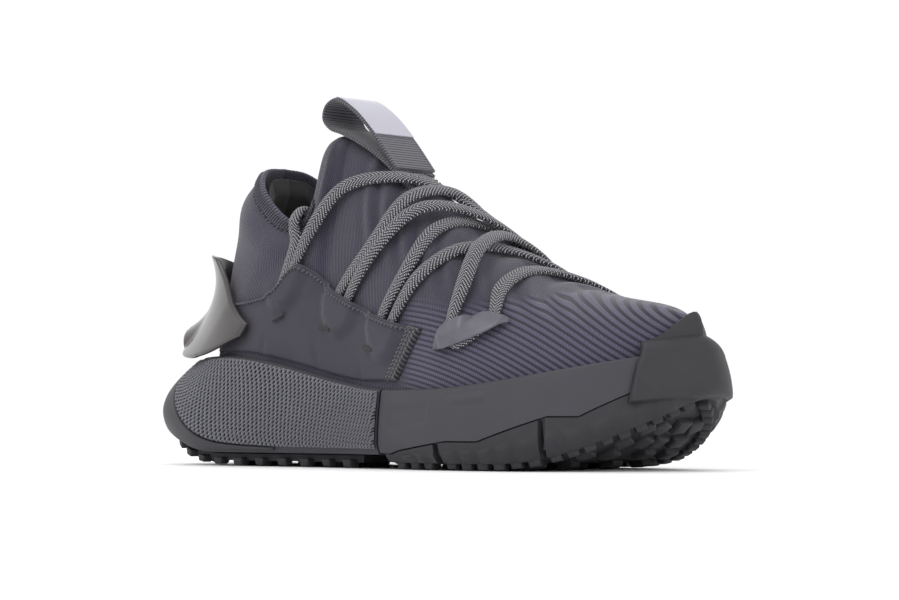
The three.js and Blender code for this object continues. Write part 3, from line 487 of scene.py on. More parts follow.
def evenly(line, step, *carried):
    """The line's points resampled every step millimetres, with any other columns carried along."""
    run = np.r_[0, np.cumsum(np.linalg.norm(np.diff(line, axis=0), axis=1))]
    at = np.linspace(0, run[-1], max(int(run[-1] / step), 2))

    def pick(values):
        values = values.reshape(len(run), -1)
        return np.stack([np.interp(at, run, values[:, k]) for k in range(values.shape[1])], -1)

    return at, pick(line), *[pick(c) for c in carried]


def cord_line(stops, step=0.7):
    """Run, centre line, normals and share of the width along stops of [point, normal, share]."""
    count = 40 * len(stops)
    at_stop = np.linspace(0, len(stops) - 1, count)
    whole = np.arange(len(stops))
    normals = np.array([s[1] for s in stops])
    shares = np.array([s[2] for s in stops])
    normals = np.stack([np.interp(at_stop, whole, normals[:, k]) for k in range(3)], -1)
    return evenly(centripetal([s[0] for s in stops], count), step, normals, np.interp(at_stop, whole, shares))


def sweep_cord(name, stops, width, thickness, sides=20, fullness=2.3):
    """A flat cord along its stops, closed by a rounded end at each side."""
    run, line, normals, shares = cord_line(stops)
    tangent = unit(np.gradient(line, axis=0))
    across = unit(np.cross(tangent, normals))
    up = unit(np.cross(across, tangent))
    a = np.arange(sides) * 2 * np.pi / sides
    c, s = (np.sign(w) * np.abs(w) ** (2 / fullness) for w in (np.cos(a), np.sin(a)))
    narrow = shares * np.clip(np.minimum(run, run[-1] - run)[:, None] / 1.2 + 0.35, 0, 1)
    rings = line[:, None] + across[:, None] * (c[None, :, None] * narrow[:, None] * width / 2)
    rings = rings + up[:, None] * (s[None, :, None] * mix(0.3, 1, shares)[:, None] * thickness / 2)
    rows = len(line)
    n = rows * sides
    i = np.arange(sides)
    ends = line[[0, -1]] + tangent[[0, -1]] * np.array([[-0.4], [0.4]])
    first = np.stack([np.full(sides, n), (i + 1) % sides, i], -1)
    last = np.stack([np.full(sides, n + 1), n - sides + i, n - sides + (i + 1) % sides], -1)
    uv = np.stack(np.broadcast_arrays(run[:, None], c[None] * width / 2), -1).reshape(-1, 2)
    co = to_frame(np.concatenate([rings.reshape(-1, 3), ends]))
    obj = new_object(name, co, [*grid_faces(rows, sides, wrap=True), *first, *last],
        np.concatenate([uv, uv[[0, -1]]]))
    return welded(obj), line


# ------------------------------------------------------------------ repeated pieces
def input_socket(tree, name, kind, value):
    socket = tree.interface.new_socket(name=name, in_out="INPUT", socket_type=kind)
    if value is not None:
        socket.default_value = value
    return socket.identifier


def scatter_tree():
    """A node tree that sets one piece on each point of a mesh, along the point's own two directions."""
    tree = bpy.data.node_groups.new("Scatter", "GeometryNodeTree")
    ids = {"Geometry": input_socket(tree, "Geometry", "NodeSocketGeometry", None)}
    for name, kind, value in (("Piece", "NodeSocketObject", None), ("Material", "NodeSocketMaterial", None),
                              ("Size", "NodeSocketFloat", 1.0), ("Size variation", "NodeSocketFloat", 0.0),
                              ("Seed", "NodeSocketInt", 0)):
        ids[name] = input_socket(tree, name, kind, value)
    tree.interface.new_socket(name="Geometry", in_out="OUTPUT", socket_type="NodeSocketGeometry")
    nodes = {}
    for key, kind in (("in", "NodeGroupInput"), ("out", "NodeGroupOutput"),
        ("piece", "GeometryNodeObjectInfo"),
                      ("place", "GeometryNodeInstanceOnPoints"), ("real", "GeometryNodeRealizeInstances"),
                      ("paint", "GeometryNodeSetMaterial"), ("along", "GeometryNodeInputNamedAttribute"),
                      ("out_of", "GeometryNodeInputNamedAttribute"), ("turn", "FunctionNodeAxesToRotation"),
                      ("random", "FunctionNodeRandomValue"), ("low", "ShaderNodeMath"), ("high",
                          "ShaderNodeMath"),
                      ("size", "ShaderNodeMath")):
        nodes[key] = tree.nodes.new(kind)
    for key, name in (("along", "Along"), ("out_of", "Outwards")):
        nodes[key].data_type = "FLOAT_VECTOR"
        nodes[key].inputs["Name"].default_value = name
    nodes["turn"].primary_axis, nodes["turn"].secondary_axis = "Z", "X"
    nodes["random"].data_type = "FLOAT"
    nodes["low"].operation, nodes["high"].operation, nodes["size"].operation = "SUBTRACT", "ADD", "MULTIPLY"
    nodes["low"].inputs[0].default_value = nodes["high"].inputs[0].default_value = 1.0
    given = nodes["in"].outputs
    random_inputs = [s for s in nodes["random"].inputs if s.type == "VALUE"]
    links = (
        (given["Geometry"], nodes["place"].inputs["Points"]), (given["Piece"],
            nodes["piece"].inputs["Object"]),
        (nodes["piece"].outputs["Geometry"], nodes["place"].inputs["Instance"]),
        (nodes["out_of"].outputs["Attribute"], nodes["turn"].inputs["Primary Axis"]),
        (nodes["along"].outputs["Attribute"], nodes["turn"].inputs["Secondary Axis"]),
        (nodes["turn"].outputs["Rotation"], nodes["place"].inputs["Rotation"]),
        (given["Size variation"], nodes["low"].inputs[1]), (given["Size variation"], nodes["high"].inputs[1]),
        (nodes["low"].outputs[0], random_inputs[0]), (nodes["high"].outputs[0], random_inputs[1]),
        (given["Seed"], nodes["random"].inputs["Seed"]), (given["Size"], nodes["size"].inputs[0]),
        ([s for s in nodes["random"].outputs if s.type == "VALUE"][0], nodes["size"].inputs[1]),
        (nodes["size"].outputs[0], nodes["place"].inputs["Scale"]),
        (nodes["place"].outputs["Instances"], nodes["real"].inputs["Geometry"]),
        (nodes["real"].outputs["Geometry"], nodes["paint"].inputs["Geometry"]),
        (given["Material"], nodes["paint"].inputs["Material"]),
        (nodes["paint"].outputs["Geometry"], nodes["out"].inputs["Geometry"]),
    )
    for start, end in links:
        tree.links.new(start, end)
    return tree, ids


def scatter(name, piece, points, along, outwards, material_name, size=1.0, variation=0.0):
    """Copies of piece at points in millimetres, as one plain mesh. The piece itself is used up."""
    holder = new_object(name + "_points", to_frame(points), [])
    for key, values in (("Along", along), ("Outwards", outwards)):
        layer = holder.data.attributes.new(key, "FLOAT_VECTOR", "POINT")
        layer.data.foreach_set("vector",
            np.broadcast_to(np.asarray(values, np.float32), (len(points), 3)).ravel())
    tree, ids = scatter_tree()
    modifier = holder.modifiers.new("Scatter", "NODES")
    modifier.node_group = tree
    modifier[ids["Piece"]] = piece
    modifier[ids["Material"]] = made_material(material_name)
    modifier[ids["Size"]] = size
    modifier[ids["Size variation"]] = variation
    modifier[ids["Seed"]] = sizes().seed
    bpy.context.view_layer.update()
    evaluated = holder.evaluated_get(bpy.context.evaluated_depsgraph_get())
    mesh = bpy.data.meshes.new_from_object(evaluated)
    obj = bpy.data.objects.new(name, mesh)
    bpy.context.scene.collection.objects.link(obj)
    bpy.data.objects.remove(holder)
    bpy.data.node_groups.remove(tree)
    bpy.data.objects.remove(piece)
    obj.data.shade_smooth()
    return obj


def stitch(length, width, name="stitch"):
    """One stitch of thread along X, its middle at the origin and its ends dipping below the surface."""
    k = np.linspace(-1, 1, 9)
    a = np.arange(6) * np.pi / 3
    radius = width / 2 * np.sqrt(np.clip(1.05 - k**2, 0.05, 1))
    x = np.broadcast_to((k * length / 2)[:, None], (9, 6))
    y = radius[:, None] * np.cos(a)
    z = radius[:, None] * np.sin(a) + (width * (0.6 - 0.9 * k**2))[:, None]
    co = np.stack([x, y, z], -1).reshape(-1, 3) * MM
    obj = new_object(name, co, [*grid_faces(9, 6, wrap=True), tuple(range(6))[::-1], tuple(range(48, 54))])
    return welded(obj)


def stitched_line(name, line, outwards, spacing, width, material_name, twist=0.0):
    """Stitches end to end along a line, each turned by twist from it."""
    _, places, facing = evenly(np.asarray(line, float), spacing, np.asarray(outwards, float))
    along = unit(np.gradient(places, axis=0))
    facing = unit(facing)
    side = np.cross(facing, along)
    along = along * math.cos(twist) + side * math.sin(twist)
    return scatter(name, stitch(spacing * 0.85, width), places, along, facing, material_name)


# ------------------------------------------------------------------ materials
class Value:
    """A socket in a material's node tree, on which arithmetic adds maths nodes."""

    def __init__(self, tree, socket):
        self.tree = tree
        self.socket = socket

    def node(self, operation, *others, clamp=False):
        node = self.tree.nodes.new("ShaderNodeMath")
        node.operation = operation
        node.use_clamp = clamp
        for socket, value in zip(node.inputs, (self, *others)):
            if isinstance(value, Value):
                self.tree.links.new(value.socket, socket)
            else:
                socket.default_value = value
        return Value(self.tree, node.outputs[0])

    def __add__(self, other):
        return self.node("ADD", other)

    def __mul__(self, other):
        return self.node("MULTIPLY", other)

    def __sub__(self, other):
        return self.node("SUBTRACT", other)

    def __neg__(self):
        return self.node("MULTIPLY", -1.0)

    __radd__ = __add__
    __rmul__ = __mul__

    def __rsub__(self, other):
        return (-self) + other

    def root(self):
        return self.node("SQRT")

    def floor(self):
        return self.node("FLOOR")

    def size(self):
        return self.node("ABSOLUTE")

    def wave(self, pitch=1.0):
        """A cosine of this value that repeats every pitch and runs from -1 to 1."""
        return (self * (2 * math.pi / pitch)).node("COSINE")

    def between(self, low, high):
        """0 below low and 1 above high, with a smooth step between them."""
        node = self.tree.nodes.new("ShaderNodeMapRange")
        node.interpolation_type = "SMOOTHSTEP"
        self.tree.links.new(self.socket, node.inputs["Value"])
        node.inputs["From Min"].default_value = low
        node.inputs["From Max"].default_value = high
        return Value(self.tree, node.outputs["Result"])

    def blend(self, low, high):
        """low where this value is 0 and high where it is 1."""
        return low + (high - low) * self


class Surface:
    """The node tree of one material: its coordinates, its noise and its shader."""

    def __init__(self, material):
        self.tree = material.node_tree
        self.shader = self.tree.nodes["Principled BSDF"]

    def value(self, socket):
        return Value(self.tree, socket)

    def split(self, socket, scale=1.0):
        node = self.tree.nodes.new("ShaderNodeSeparateXYZ")
        self.tree.links.new(socket, node.inputs[0])
        return [self.value(out) * scale for out in node.outputs]

    def run(self):
        """Millimetres along and across the piece."""
        node = self.tree.nodes.new("ShaderNodeUVMap")
        node.uv_map = "Millimetres"
        return self.split(node.outputs["UV"])[:2]

    def place(self):
        """The point in the shoe's frame, in millimetres."""
        node = self.tree.nodes.new("ShaderNodeTexCoord")
        return self.split(node.outputs["Object"], 1 / MM)

    def attribute(self, name):
        node = self.tree.nodes.new("ShaderNodeAttribute")
        node.attribute_name = name
        return self.value(node.outputs["Fac"])

    def noise(self, size, detail=3.0):
        """Noise from 0 to 1 with features of this size in millimetres."""
        place = self.tree.nodes.new("ShaderNodeTexCoord")
        node = self.tree.nodes.new("ShaderNodeTexNoise")
        self.tree.links.new(place.outputs["Object"], node.inputs["Vector"])
        node.inputs["Scale"].default_value = 1 / (size * MM)
        node.inputs["Detail"].default_value = detail
        return self.value(node.outputs["Fac"])

    def colour(self, amount, dark, light):
        node = self.tree.nodes.new("ShaderNodeMix")
        node.data_type = "RGBA"
        self.tree.links.new(amount.socket, node.inputs["Factor"])
        colours = [s for s in node.inputs if s.type == "RGBA"]
        colours[0].default_value, colours[1].default_value = dark, light
        result = [s for s in node.outputs if s.type == "RGBA"][0]
        self.tree.links.new(result, self.shader.inputs["Base Color"])

    def roughness(self, amount):
        self.tree.links.new(amount.socket, self.shader.inputs["Roughness"])

    def bump(self, height, depth):
        """Raises the surface by up to depth millimetres where height is 1."""
        node = self.tree.nodes.new("ShaderNodeBump")
        node.inputs["Distance"].default_value = depth * MM
        self.tree.links.new(height.socket, node.inputs["Height"])
        self.tree.links.new(node.outputs["Normal"], self.shader.inputs["Normal"])


def linear(code):
    """A colour code as linear RGBA."""
    parts = [int(code[i:i + 2], 16) / 255 for i in (0, 2, 4)]
    return [p / 12.92 if p <= 0.04045 else ((p + 0.055) / 1.055) ** 2.4 for p in parts] + [1.0]


LOOKS = {}


def look(name, dark, light, **constants):
    """Marks a function as the maker of the material of that name, between two colours."""
    def keep(build):
        LOOKS[name] = (build, linear(dark), linear(light), constants)
        return build
    return keep


def made_material(name):
    """The material of that name, built when it is first asked for."""
    own_name = "shoe_" + name
    if own_name in bpy.data.materials:
        return bpy.data.materials[own_name]
    build, dark, light, constants = LOOKS[name]
    material = bpy.data.materials.new(own_name)
    material.use_nodes = True
    surface = Surface(material)
    for socket, value in constants.items():
        surface.shader.inputs[socket.replace("_", " ")].default_value = value
    shade, rough, height, depth = build(surface)
    surface.colour(shade, dark, light)
    surface.roughness(rough)
    surface.bump(height, depth)
    return material


@look("midsole_foam", "2c2c31", "43434a", Specular_IOR_Level=0.42)
def foam_look(m):
    cloud = m.noise(14)
    grain = m.noise(0.35, 2)
    return cloud * 0.35 + grain * 0.3 + 0.1, cloud.blend(0.5, 0.66), grain, 0.05


@look("heel_pad_rubber", "26262a", "38383e", Specular_IOR_Level=0.4)
def heel_pad_look(m):
    cloud = m.noise(10)
    return cloud, cloud.blend(0.45, 0.6), m.noise(0.5), 0.03


@look("outsole_rubber", "1c1c1f", "35353a", Specular_IOR_Level=0.4)
def rubber_look(m):
    cloud = m.noise(6)
    grain = m.noise(0.5, 2)
    return cloud * 0.6 + grain * 0.3, cloud.blend(0.5, 0.7), grain, 0.07


def hexagon_cells(u, v, pitch):
    """1 in the middle of each cell of a net and -1 or so on its threads, in rows offset by half a cell."""
    return u.wave(pitch) * v.wave(pitch * 1.1)


@look("sole_mesh", "040405", "7b7b85", Sheen_Weight=0.25, Sheen_Roughness=0.5)
def net_look(m):
    u, v = m.run()
    thread = 1 - hexagon_cells(u, v, sizes().net_pitch).between(-0.25, 0.55)
    fine = (u + v).wave(0.55) * (u - v).wave(0.55)
    return thread * (m.noise(0.4, 1) * 0.7 + 0.4), thread.blend(0.95, 0.75), fine * 0.5 + 0.5, 0.12


@look("upper_knit", "0b0a11", "56526a", Sheen_Weight=0.3, Sheen_Roughness=0.45)
def knit_look(m):
    u, v = m.run()
    x, _, z = m.place()
    ribbed = m.attribute("Ribbed")
    centre_x, centre_z = RIB_FAN
    dx, dz = x - centre_x, z - centre_z
    reach = (dx * dx + dz * dz).root()
    rib = reach.wave(sizes().rib_pitch) * 0.5 + 0.5
    loops = (u + reach.wave(sizes().rib_pitch) * 0.25).wave(1.15) * 0.5 + 0.5
    vamp = rib.between(0.1, 0.75) * (loops * 0.35 + 0.65)
    wale = u.wave(1.05) * 0.5 + 0.5
    course = (v + wale * 0.4).wave(0.95) * 0.5 + 0.5
    fine = wale.between(0.05, 0.6) * (course * 0.5 + 0.5)
    rimmed = m.attribute("Rim ribs")
    ribs = (u.wave(1.9) * 0.5 + 0.5).between(0.15, 0.7)
    height = ribbed.blend(fine * 0.45, vamp)
    height = rimmed.blend(height, ribs * (course * 0.3 + 0.7))
    shade = height * 0.62 + m.noise(0.5, 2) * 0.26 + m.noise(22, 2) * 0.14
    return shade, height.blend(0.98, 0.84), height, 0.42


@look("collar_rib", "0d0c13", "474454", Sheen_Weight=0.3)
def collar_look(m):
    u, v = m.run()
    ribs = (u.wave(1.5) * 0.5 + 0.5).between(0.15, 0.7)
    loops = (v.wave(1.0) * 0.5 + 0.5) * 0.4 + 0.6
    return ribs * loops, ribs.blend(0.98, 0.85), ribs * loops, 0.35


@look("saddle", "24232b", "45424f", Sheen_Weight=0.12, Specular_IOR_Level=0.35)
def saddle_look(m):
    u, v = m.run()
    weave = (u + v).wave(0.8) * (u - v).wave(0.8) * 0.5 + 0.5
    cloud = m.noise(9)
    return cloud * 0.55 + weave * 0.25, cloud.blend(0.62, 0.78), weave, 0.07


@look("edge_knit", "0f0f13", "51505b", Sheen_Weight=0.3)
def edge_look(m):
    u, v = m.run()
    chain = (v + u.size() * 0.9).wave(1.9) * 0.5 + 0.5
    return chain.between(0.2, 0.8) * (m.noise(0.4, 1) * 0.6 + 0.4), chain.blend(0.95, 0.8), chain, 0.5


@look("film", "45444d", "5e5d67", Specular_IOR_Level=0.5)
def film_look(m):
    cloud = m.noise(5)
    return cloud, cloud.blend(0.3, 0.42), m.noise(0.9), 0.03


@look("lace", "131317", "c4c3cd", Sheen_Weight=0.25)
def lace_look(m):
    run, side = m.run()
    plait = (run + side.size() * 1.1).wave(1.7) * 0.5 + 0.5
    strands = ((run - side.size() * 1.3).wave(1.15) * 0.5 + 0.5).between(0.25, 0.75)
    fleck = plait.between(0.45, 0.75) * strands
    height = plait * 0.6 + strands * 0.4
    return fleck * (m.noise(0.7, 1) * 0.5 + 0.6), height.blend(0.95, 0.8), height, 0.4


@look("aglet", "131316", "1e1e22", Coat_Weight=0.6, Coat_Roughness=0.15)
def aglet_look(m):
    cloud = m.noise(2)
    return cloud, cloud.blend(0.2, 0.32), m.noise(0.8), 0.02


@look("counter_plastic", "2d292b", "464042", Coat_Weight=0.4, Coat_Roughness=0.15, IOR=1.5)
def counter_look(m):
    cloud = m.noise(30, 2)
    return cloud.between(0.25, 0.75), cloud.blend(0.16, 0.27), m.noise(1.5), 0.02


@look("badge", "111114", "232327", Coat_Weight=0.5, Coat_Roughness=0.2)
def badge_look(m):
    cloud = m.noise(4)
    return cloud, cloud.blend(0.25, 0.4), m.noise(0.7), 0.03


def woven(m, rib, line):
    """Cross ribs of webbing: its length is v, its width u."""
    u, v = m.run()
    ribs = v.wave(rib) * 0.5 + 0.5
    warp = (u + v.wave(rib * 2) * line * 0.25).wave(line) * 0.5 + 0.5
    return ribs.between(0.1, 0.8), warp


@look("webbing", "1c1b20", "5a5863", Sheen_Weight=0.3)
def webbing_look(m):
    ribs, warp = woven(m, 1.5, 1.0)
    return ribs * 0.7 + warp * 0.2, ribs.blend(0.92, 0.7), ribs * 0.8 + warp * 0.2, 0.3


@look("label", "8f8e9c", "bdbcc9", Sheen_Weight=0.2, Specular_IOR_Level=0.6)
def label_look(m):
    ribs, warp = woven(m, 0.6, 0.5)
    return ribs * 0.3 + warp * 0.3 + 0.3, warp.blend(0.34, 0.5), warp, 0.05


@look("lining", "0b0b0d", "1d1d22", Sheen_Weight=0.2)
def lining_look(m):
    u, v = m.run()
    loops = (u + v).wave(1.2) * (u - v).wave(1.2) * 0.5 + 0.5
    return loops, loops.blend(0.98, 0.9), loops, 0.15


@look("padding", "151518", "26262b", Sheen_Weight=0.1)
def padding_look(m):
    cells = m.noise(0.6, 4)
    return cells, cells.blend(0.98, 0.9), cells, 0.2


@look("sockliner", "0e0e11", "222227", Sheen_Weight=0.35)
def sockliner_look(m):
    nap = m.noise(0.5, 3)
    return nap, nap.blend(0.98, 0.9), nap, 0.15


@look("board", "47474b", "6c6c70")
def board_look(m):
    felt = m.noise(0.8, 4)
    return felt, felt.blend(0.98, 0.9), felt, 0.1


@look("thread", "0c0c0f", "2b2a31", Sheen_Weight=0.2)
def thread_look(m):
    twist = m.noise(0.3, 1)
    return twist, twist.blend(0.85, 0.7), twist, 0.06


@look("floor", "fbfbfc", "fefeff", Specular_IOR_Level=0.2)
def floor_look(m):
    cloud = m.noise(300, 2)
    return cloud, cloud.blend(0.6, 0.7), m.noise(2), 0.01


# ------------------------------------------------------------------ layout, as in the CAD part
DRAPE = 0.6  # gap between the knit and what lies on it
HEEL_END = 6.8  # outline parameter where the heel foam meets the forefoot foam
JOINT_GAP = 0.02
RIB_FAN = (4.0, -113.0)  # the vamp's ribs are arcs about this point in x and z of the CAD frame, in mm
FOAM_STEP = 2.4
WEB = 1.2
QUARTER = 1.1

OUTER_EYELETS = [(4.35, -0.54), (5.85, -0.71), (6.8, -0.74), (8.2, -0.69), (8.65, -0.58)]
INNER_EYELETS = [(7.1, 0.52), (7.7, 0.5), (8.15, 0.48), (8.8, 0.45), (9.35, 0.4)]


def lace_rest():
    """Height of a resting lace's centre above the knit."""
    return DRAPE + sizes().lace_thickness / 2


def turn_stops(eyelet, leads_forward):
    s, q = eyelet
    into = math.copysign(0.035, q)
    first, second = (-0.1, 0.1) if leads_forward else (0.1, -0.1)
    rest = lace_rest()
    return [(s + first, q - into / 2, rest, 0.66), (s, q + into, rest, 0.62),
        (s + second, q - into / 2, rest, 0.66)]


def crossing(a, b, lift, bow):
    return [(mix(a[0], b[0], k) + 4 * k * (1 - k) * bow, mix(a[1], b[1], k),
             lace_rest() + lift * math.sin(math.pi * k) ** 2, 1) for k in (0.2, 0.4, 0.6, 0.8)]


def lace_stops():
    """Stops of the lace's run: outline parameter, share across the instep, height and share of the width."""
    lift = sizes().lace_thickness + 1.8
    l1, l2, l3, l4, l5 = OUTER_EYELETS
    m1, m2, m3, m4, m5 = INNER_EYELETS
    return [
        *turn_stops(l1, True)[1:], (5.05, -0.44, lace_rest() + 1.5, 0.9), *crossing(l1, m2, 3, 1.1),
        *turn_stops(m2, True), *crossing(m2, l3, 0, 0.4),
        *turn_stops(l3, True), *crossing(l3, m4, 0, 0.4), *turn_stops(m4, True)[:2], *turn_stops(m5,
            True)[1:],
        *crossing(m5, l5, 0, 0), *turn_stops(l5, False)[:2], *turn_stops(l4, False)[1:],
        *crossing(l4, m3, lift, 0.1), *turn_stops(m3, False), *crossing(m3, l2, lift, 0.5),
        *turn_stops(l2, False), *crossing(l2, m1, lift, 0.7), *turn_stops(m1, False)[:2],
    ]


def outwards(t, v):
    return unit(form(t, v, 1.0) - form(t, v, 0.0))


def on_instep(stop):
    s, q, height, width = stop
    t = s if q < 0 else TURNS - s
    return [form(t, 1 - abs(q), height), outwards(t, 1 - abs(q)), width]


LINER_LOW = 2.1
LINER_THICKNESS = 4.0
UNDER_KNIT = 2.3
STIFFENER = 1.2
PAD_LOW = 0.5


def liner_top(u):
    return footbed(u) + LINER_LOW + LINER_THICKNESS


def pad_depth(v):
    return smooth((v - PAD_LOW) / 0.14) * smooth((1 - v) / 0.12) * 5


def lining_outer(t, v):
    return -(UNDER_KNIT + STIFFENER + 0.6 + pad_depth(v))


END_ON_LINER = [0.36, 0.45, 0.54, 0.63]


def free_end(outside, s, side):
    """Stops of one free end: over the collar's rim, down the lining and forward on the sockliner."""
    t = TURNS - s if side > 0 else s
    half = sizes().lace_thickness / 2
    up = np.array([0, 0, 1.0])
    stops = [on_instep(stop) for stop in outside]
    stops.append([form(t, 0.9, lace_rest() + 1.4), outwards(t, 0.9), 0.9])
    stops.append([form(t, 0.96, lace_rest() + 2.6), outwards(t, 0.96), 0.9])
    stops.append([form(t, 1.0, -1.0) + up * (half + 3.2), up, 0.9])
    inside = lining_outer(t, 0.75) - 1 - 0.6 - half - 0.8
    for v in (0.94, 0.86, 0.75, 0.65, 0.55):
        stops.append([form(t, v, inside), -outwards(t, v), 0.9])
    for i, u in enumerate(END_ON_LINER):
        above = half + 0.6 + (3 if i == 0 else 0.5)
        stops.append([np.array([u * sizes().sole_length, side * mix(20, 12, i / 3), liner_top(u) + above]),
            up, 0.9])
    return stops


def free_ends():
    rest = lace_rest()
    first = free_end([(4.12, -0.52, rest, 0.66), (4, -0.36, rest, 0.85), (3.85, -0.18, rest, 1)], 3.75, -1)
    second = free_end([
        (6.95, 0.46, rest, 0.7), (6.6, 0.42, rest, 1), (6.1, 0.36, rest, 1), (5.4, 0.27, rest + 1, 1),
        (4.9, 0.22, rest + 2.5, 1), (4.3, 0.17, rest + 2.5, 1),
    ], 3.8, 1)
    return {"lateral": first, "medial": second}


MEMORY = {}


def lace_marks():
    """Points along the whole lace, evenly spaced."""
    if "marks" not in MEMORY:
        ends = free_ends()
        stops = [*ends["lateral"][:2], *map(on_instep, lace_stops()), *ends["medial"][:2]]
        line = centripetal([s[0] for s in stops], 2400)
        run = np.r_[0, np.cumsum(np.linalg.norm(np.diff(line, axis=0), axis=1))]
        MEMORY["marks"] = evenly(line, run[-1] / 260)[1]
    return MEMORY["marks"]


def tunnel_rise(t, v):
    """How far a piece rises over the lace beneath it."""
    p = form(t, v, np.full(np.broadcast(t, v).shape, lace_rest()))
    flat = p.reshape(-1, 3)
    near = np.concatenate([
        np.sqrt(((part[:, None] - lace_marks()[None]) ** 2).sum(-1).min(1)) for part in np.array_split(flat,
            40)
    ]).reshape(p.shape[:-1])
    return (lace_rest() + 0.25 * sizes().lace_thickness) * smooth((11 - near) / 6.5)


def on_rim(t):
    """Height on the foot form of the line just above the sole's rim."""
    return level_at(t, rim(share(t)) + 2)


OUTER_SADDLE = Keyed([[2.8, 0.44], [4.35, 0.48], [5.5, 0.36], [5.85, 0.33], [6.8, 0.3], [7.4, 0.31]])
INNER_SADDLE = Keyed([[2.8, 0.44], [5, 0.42], [6.2, 0.46], [7.1, 0.51], [7.7, 0.53], [8.35, 0.55]])
SADDLES = {"lateral": (OUTER_SADDLE, 7.2, False), "medial": (INNER_SADDLE, 8.35, True)}
FILMS = {
    "lateral": ([[7.75, 0.24, 0.26], [8.05, 0.25, 0.355], [8.65, 0.34, 0.445], [9, 0.43, 0.45]], False),
    "medial": ([[8.6, 0.45, 0.48], [8.8, 0.45, 0.58], [9.35, 0.52, 0.63], [9.6, 0.6, 0.62]], True),
}
TACKS = [(4.5, -0.71), (5.6, -0.78), (6.5, -0.81), (6.8, 0.66), (7.45, 0.65), (8, 0.64)]


# ------------------------------------------------------------------ sole
RUBBER_TEETH = np.array([
    [0, 3], [0.55, 4], [0.6, 8], [0.7, 12], [0.755, 12], [0.853, 22], [0.89, 22], [0.945, 32], [0.965,
        40], [1, 43],
])


def rubber_line(u):
    return np.minimum(np.interp(u, *RUBBER_TEETH.T), rim(u) - 5)


def foam_under(u):
    return ground(u) + sizes().rubber_thickness + sizes().lug_depth + CLEARANCE


def foam_low(u):
    return np.maximum(rubber_line(u), foam_under(u) + 1)


def plan_point(t, inset, z):
    return with_height(outline_offset(t, -inset), z)


def across_sole(s, inset, height, count=9):
    """Points straight across the sole, from the outer side to the inner one."""
    a = plan_point(s, inset(share(s)), height(share(s)))
    other = TURNS - s
    b = plan_point(other, inset(share(other)), height(share(other)))
    return [mix(a, b, k) for k in np.linspace(0, 1, count)]


def midsole(name, start, end, stepped):
    """One block of foam: wall with a soft rim, the cup for the foot and the footbed."""
    s = np.linspace(start, end, int((end - start) * 26))
    step = FOAM_STEP + CLEARANCE if stepped else 0

    def edge(t):
        u = share(t)
        points = [plan_point(t, np.full(t.shape, sizes().bottom_tuck + 3.0), foam_under(u))]
        points += [wall(t, foam_under(u) + 0.4, -step), wall(t, foam_low(u) - 0.2, -step)]
        points += [wall(t, mix(foam_low(u), rim(u) - 1.6, k), relief(t, k, u)) for k in np.linspace(0, 1, 22)]
        outer, inner = wall(t, rim(u) - 1.6), plan_point(t, foot_inset(u) - CLEARANCE, rim(u) - 1.6)
        for turn in np.linspace(0.15, 0.85, 6) * math.pi:
            middle = mix(outer, inner, (1 - math.cos(turn)) / 2)
            points.append(middle + [0, 0, 1.6 * math.sin(turn) ** 0.7])
        for k in (0.9, 0.7, 0.5, 0.3, 0.1):
            points.append(plan_point(t, foot_inset(u) - mix(1, 2, k) * CLEARANCE, mix(footbed(u), rim(u), k)))
        return points

    def relief(t, k, u):
        panel = smooth((k - 0.38) / 0.05) * smooth((0.78 - k) / 0.05)
        long = smooth((u - 0.575) / 0.006) * smooth((0.665 - u) / 0.006)
        ridge = smooth((k - 0.72) / 0.06) * smooth((0.9 - k) / 0.06) * smooth((u - 0.7)
            / 0.01) * smooth((0.77 - u) / 0.01)
        return np.where(stepped, 0.7 * ridge - 0.7 * panel * long, 0.0)

    floor = across_sole(s, lambda u: foot_inset(u) - CLEARANCE, footbed)
    rings = np.stack([*edge(s), *floor, *edge(TURNS - s)[::-1]], 1)
    return finish(ring_body(name, rings), "midsole_foam", (name,))


PAD_TOP = Keyed([[0, 0.96], [1.2, 0.96], [1.6, 0.88], [2, 0.7], [2.4, 0.48], [2.8, 0.28], [3.2, 0.15],
    [3.7, 0.07], [4.8, 0.03]])


def skin_low(u):
    return ground(u) + sizes().rubber_thickness + sizes().lug_depth + CLEARANCE + 1.5


def skin_split(t):
    """Height of the seam between the smooth rear pad and the net."""
    u = share(t)
    apart = np.minimum(np.mod(t, TURNS), TURNS - np.mod(t, TURNS))
    return mix(skin_low(u), rim(u) - 1, PAD_TOP(apart)[..., 0])


CELL_SHRINK = 0.0012  # how much faster the net's cells follow each other per mm from the heel


def wall_skin(name, ts, low, high, rows, thickness, relief=None):
    t = np.broadcast_to(ts, (rows, len(ts)))
    z = mix(low(t), high(t), np.linspace(0, 1, rows)[:, None])
    flat = wall(t, z, 0.6)
    uv = grid_uv(flat, column=0 if ts[0] < TOE else -1)
    full = rounded_edge(uv[..., 0], uv[..., 1], 1.0)
    uv[..., 0] = uv[..., 0] * (1 + np.abs(uv[..., 0]) * CELL_SHRINK)
    lift = thickness * mix(0.3, 1, full) + (relief(uv[..., 0], uv[..., 1]) * full if relief else 0)
    return slab(name, wall(t, z, 0.6 + lift), flat, uv)


def net_relief(u, v):
    pitch = sizes().net_pitch
    cell = np.cos(2 * np.pi * u / pitch) * np.cos(2 * np.pi * v / (pitch * 1.1))
    return -1.05 * smooth((cell + 0.25) / 0.8)


def sole_mesh():
    for name, sign in (("mesh_wrap_lateral", 1), ("mesh_wrap_medial", -1)):
        ts = np.linspace(0.9, HEEL_END - 2 * JOINT_GAP, 430)
        ts = ts if sign > 0 else TURNS - ts[::-1]
        obj = wall_skin(name, ts, lambda t: skin_split(t) + 0.5, lambda t: rim(share(t)) - 1, 78, WEB + 0.5,
            net_relief)
        finish(obj, "sole_mesh", (name,))


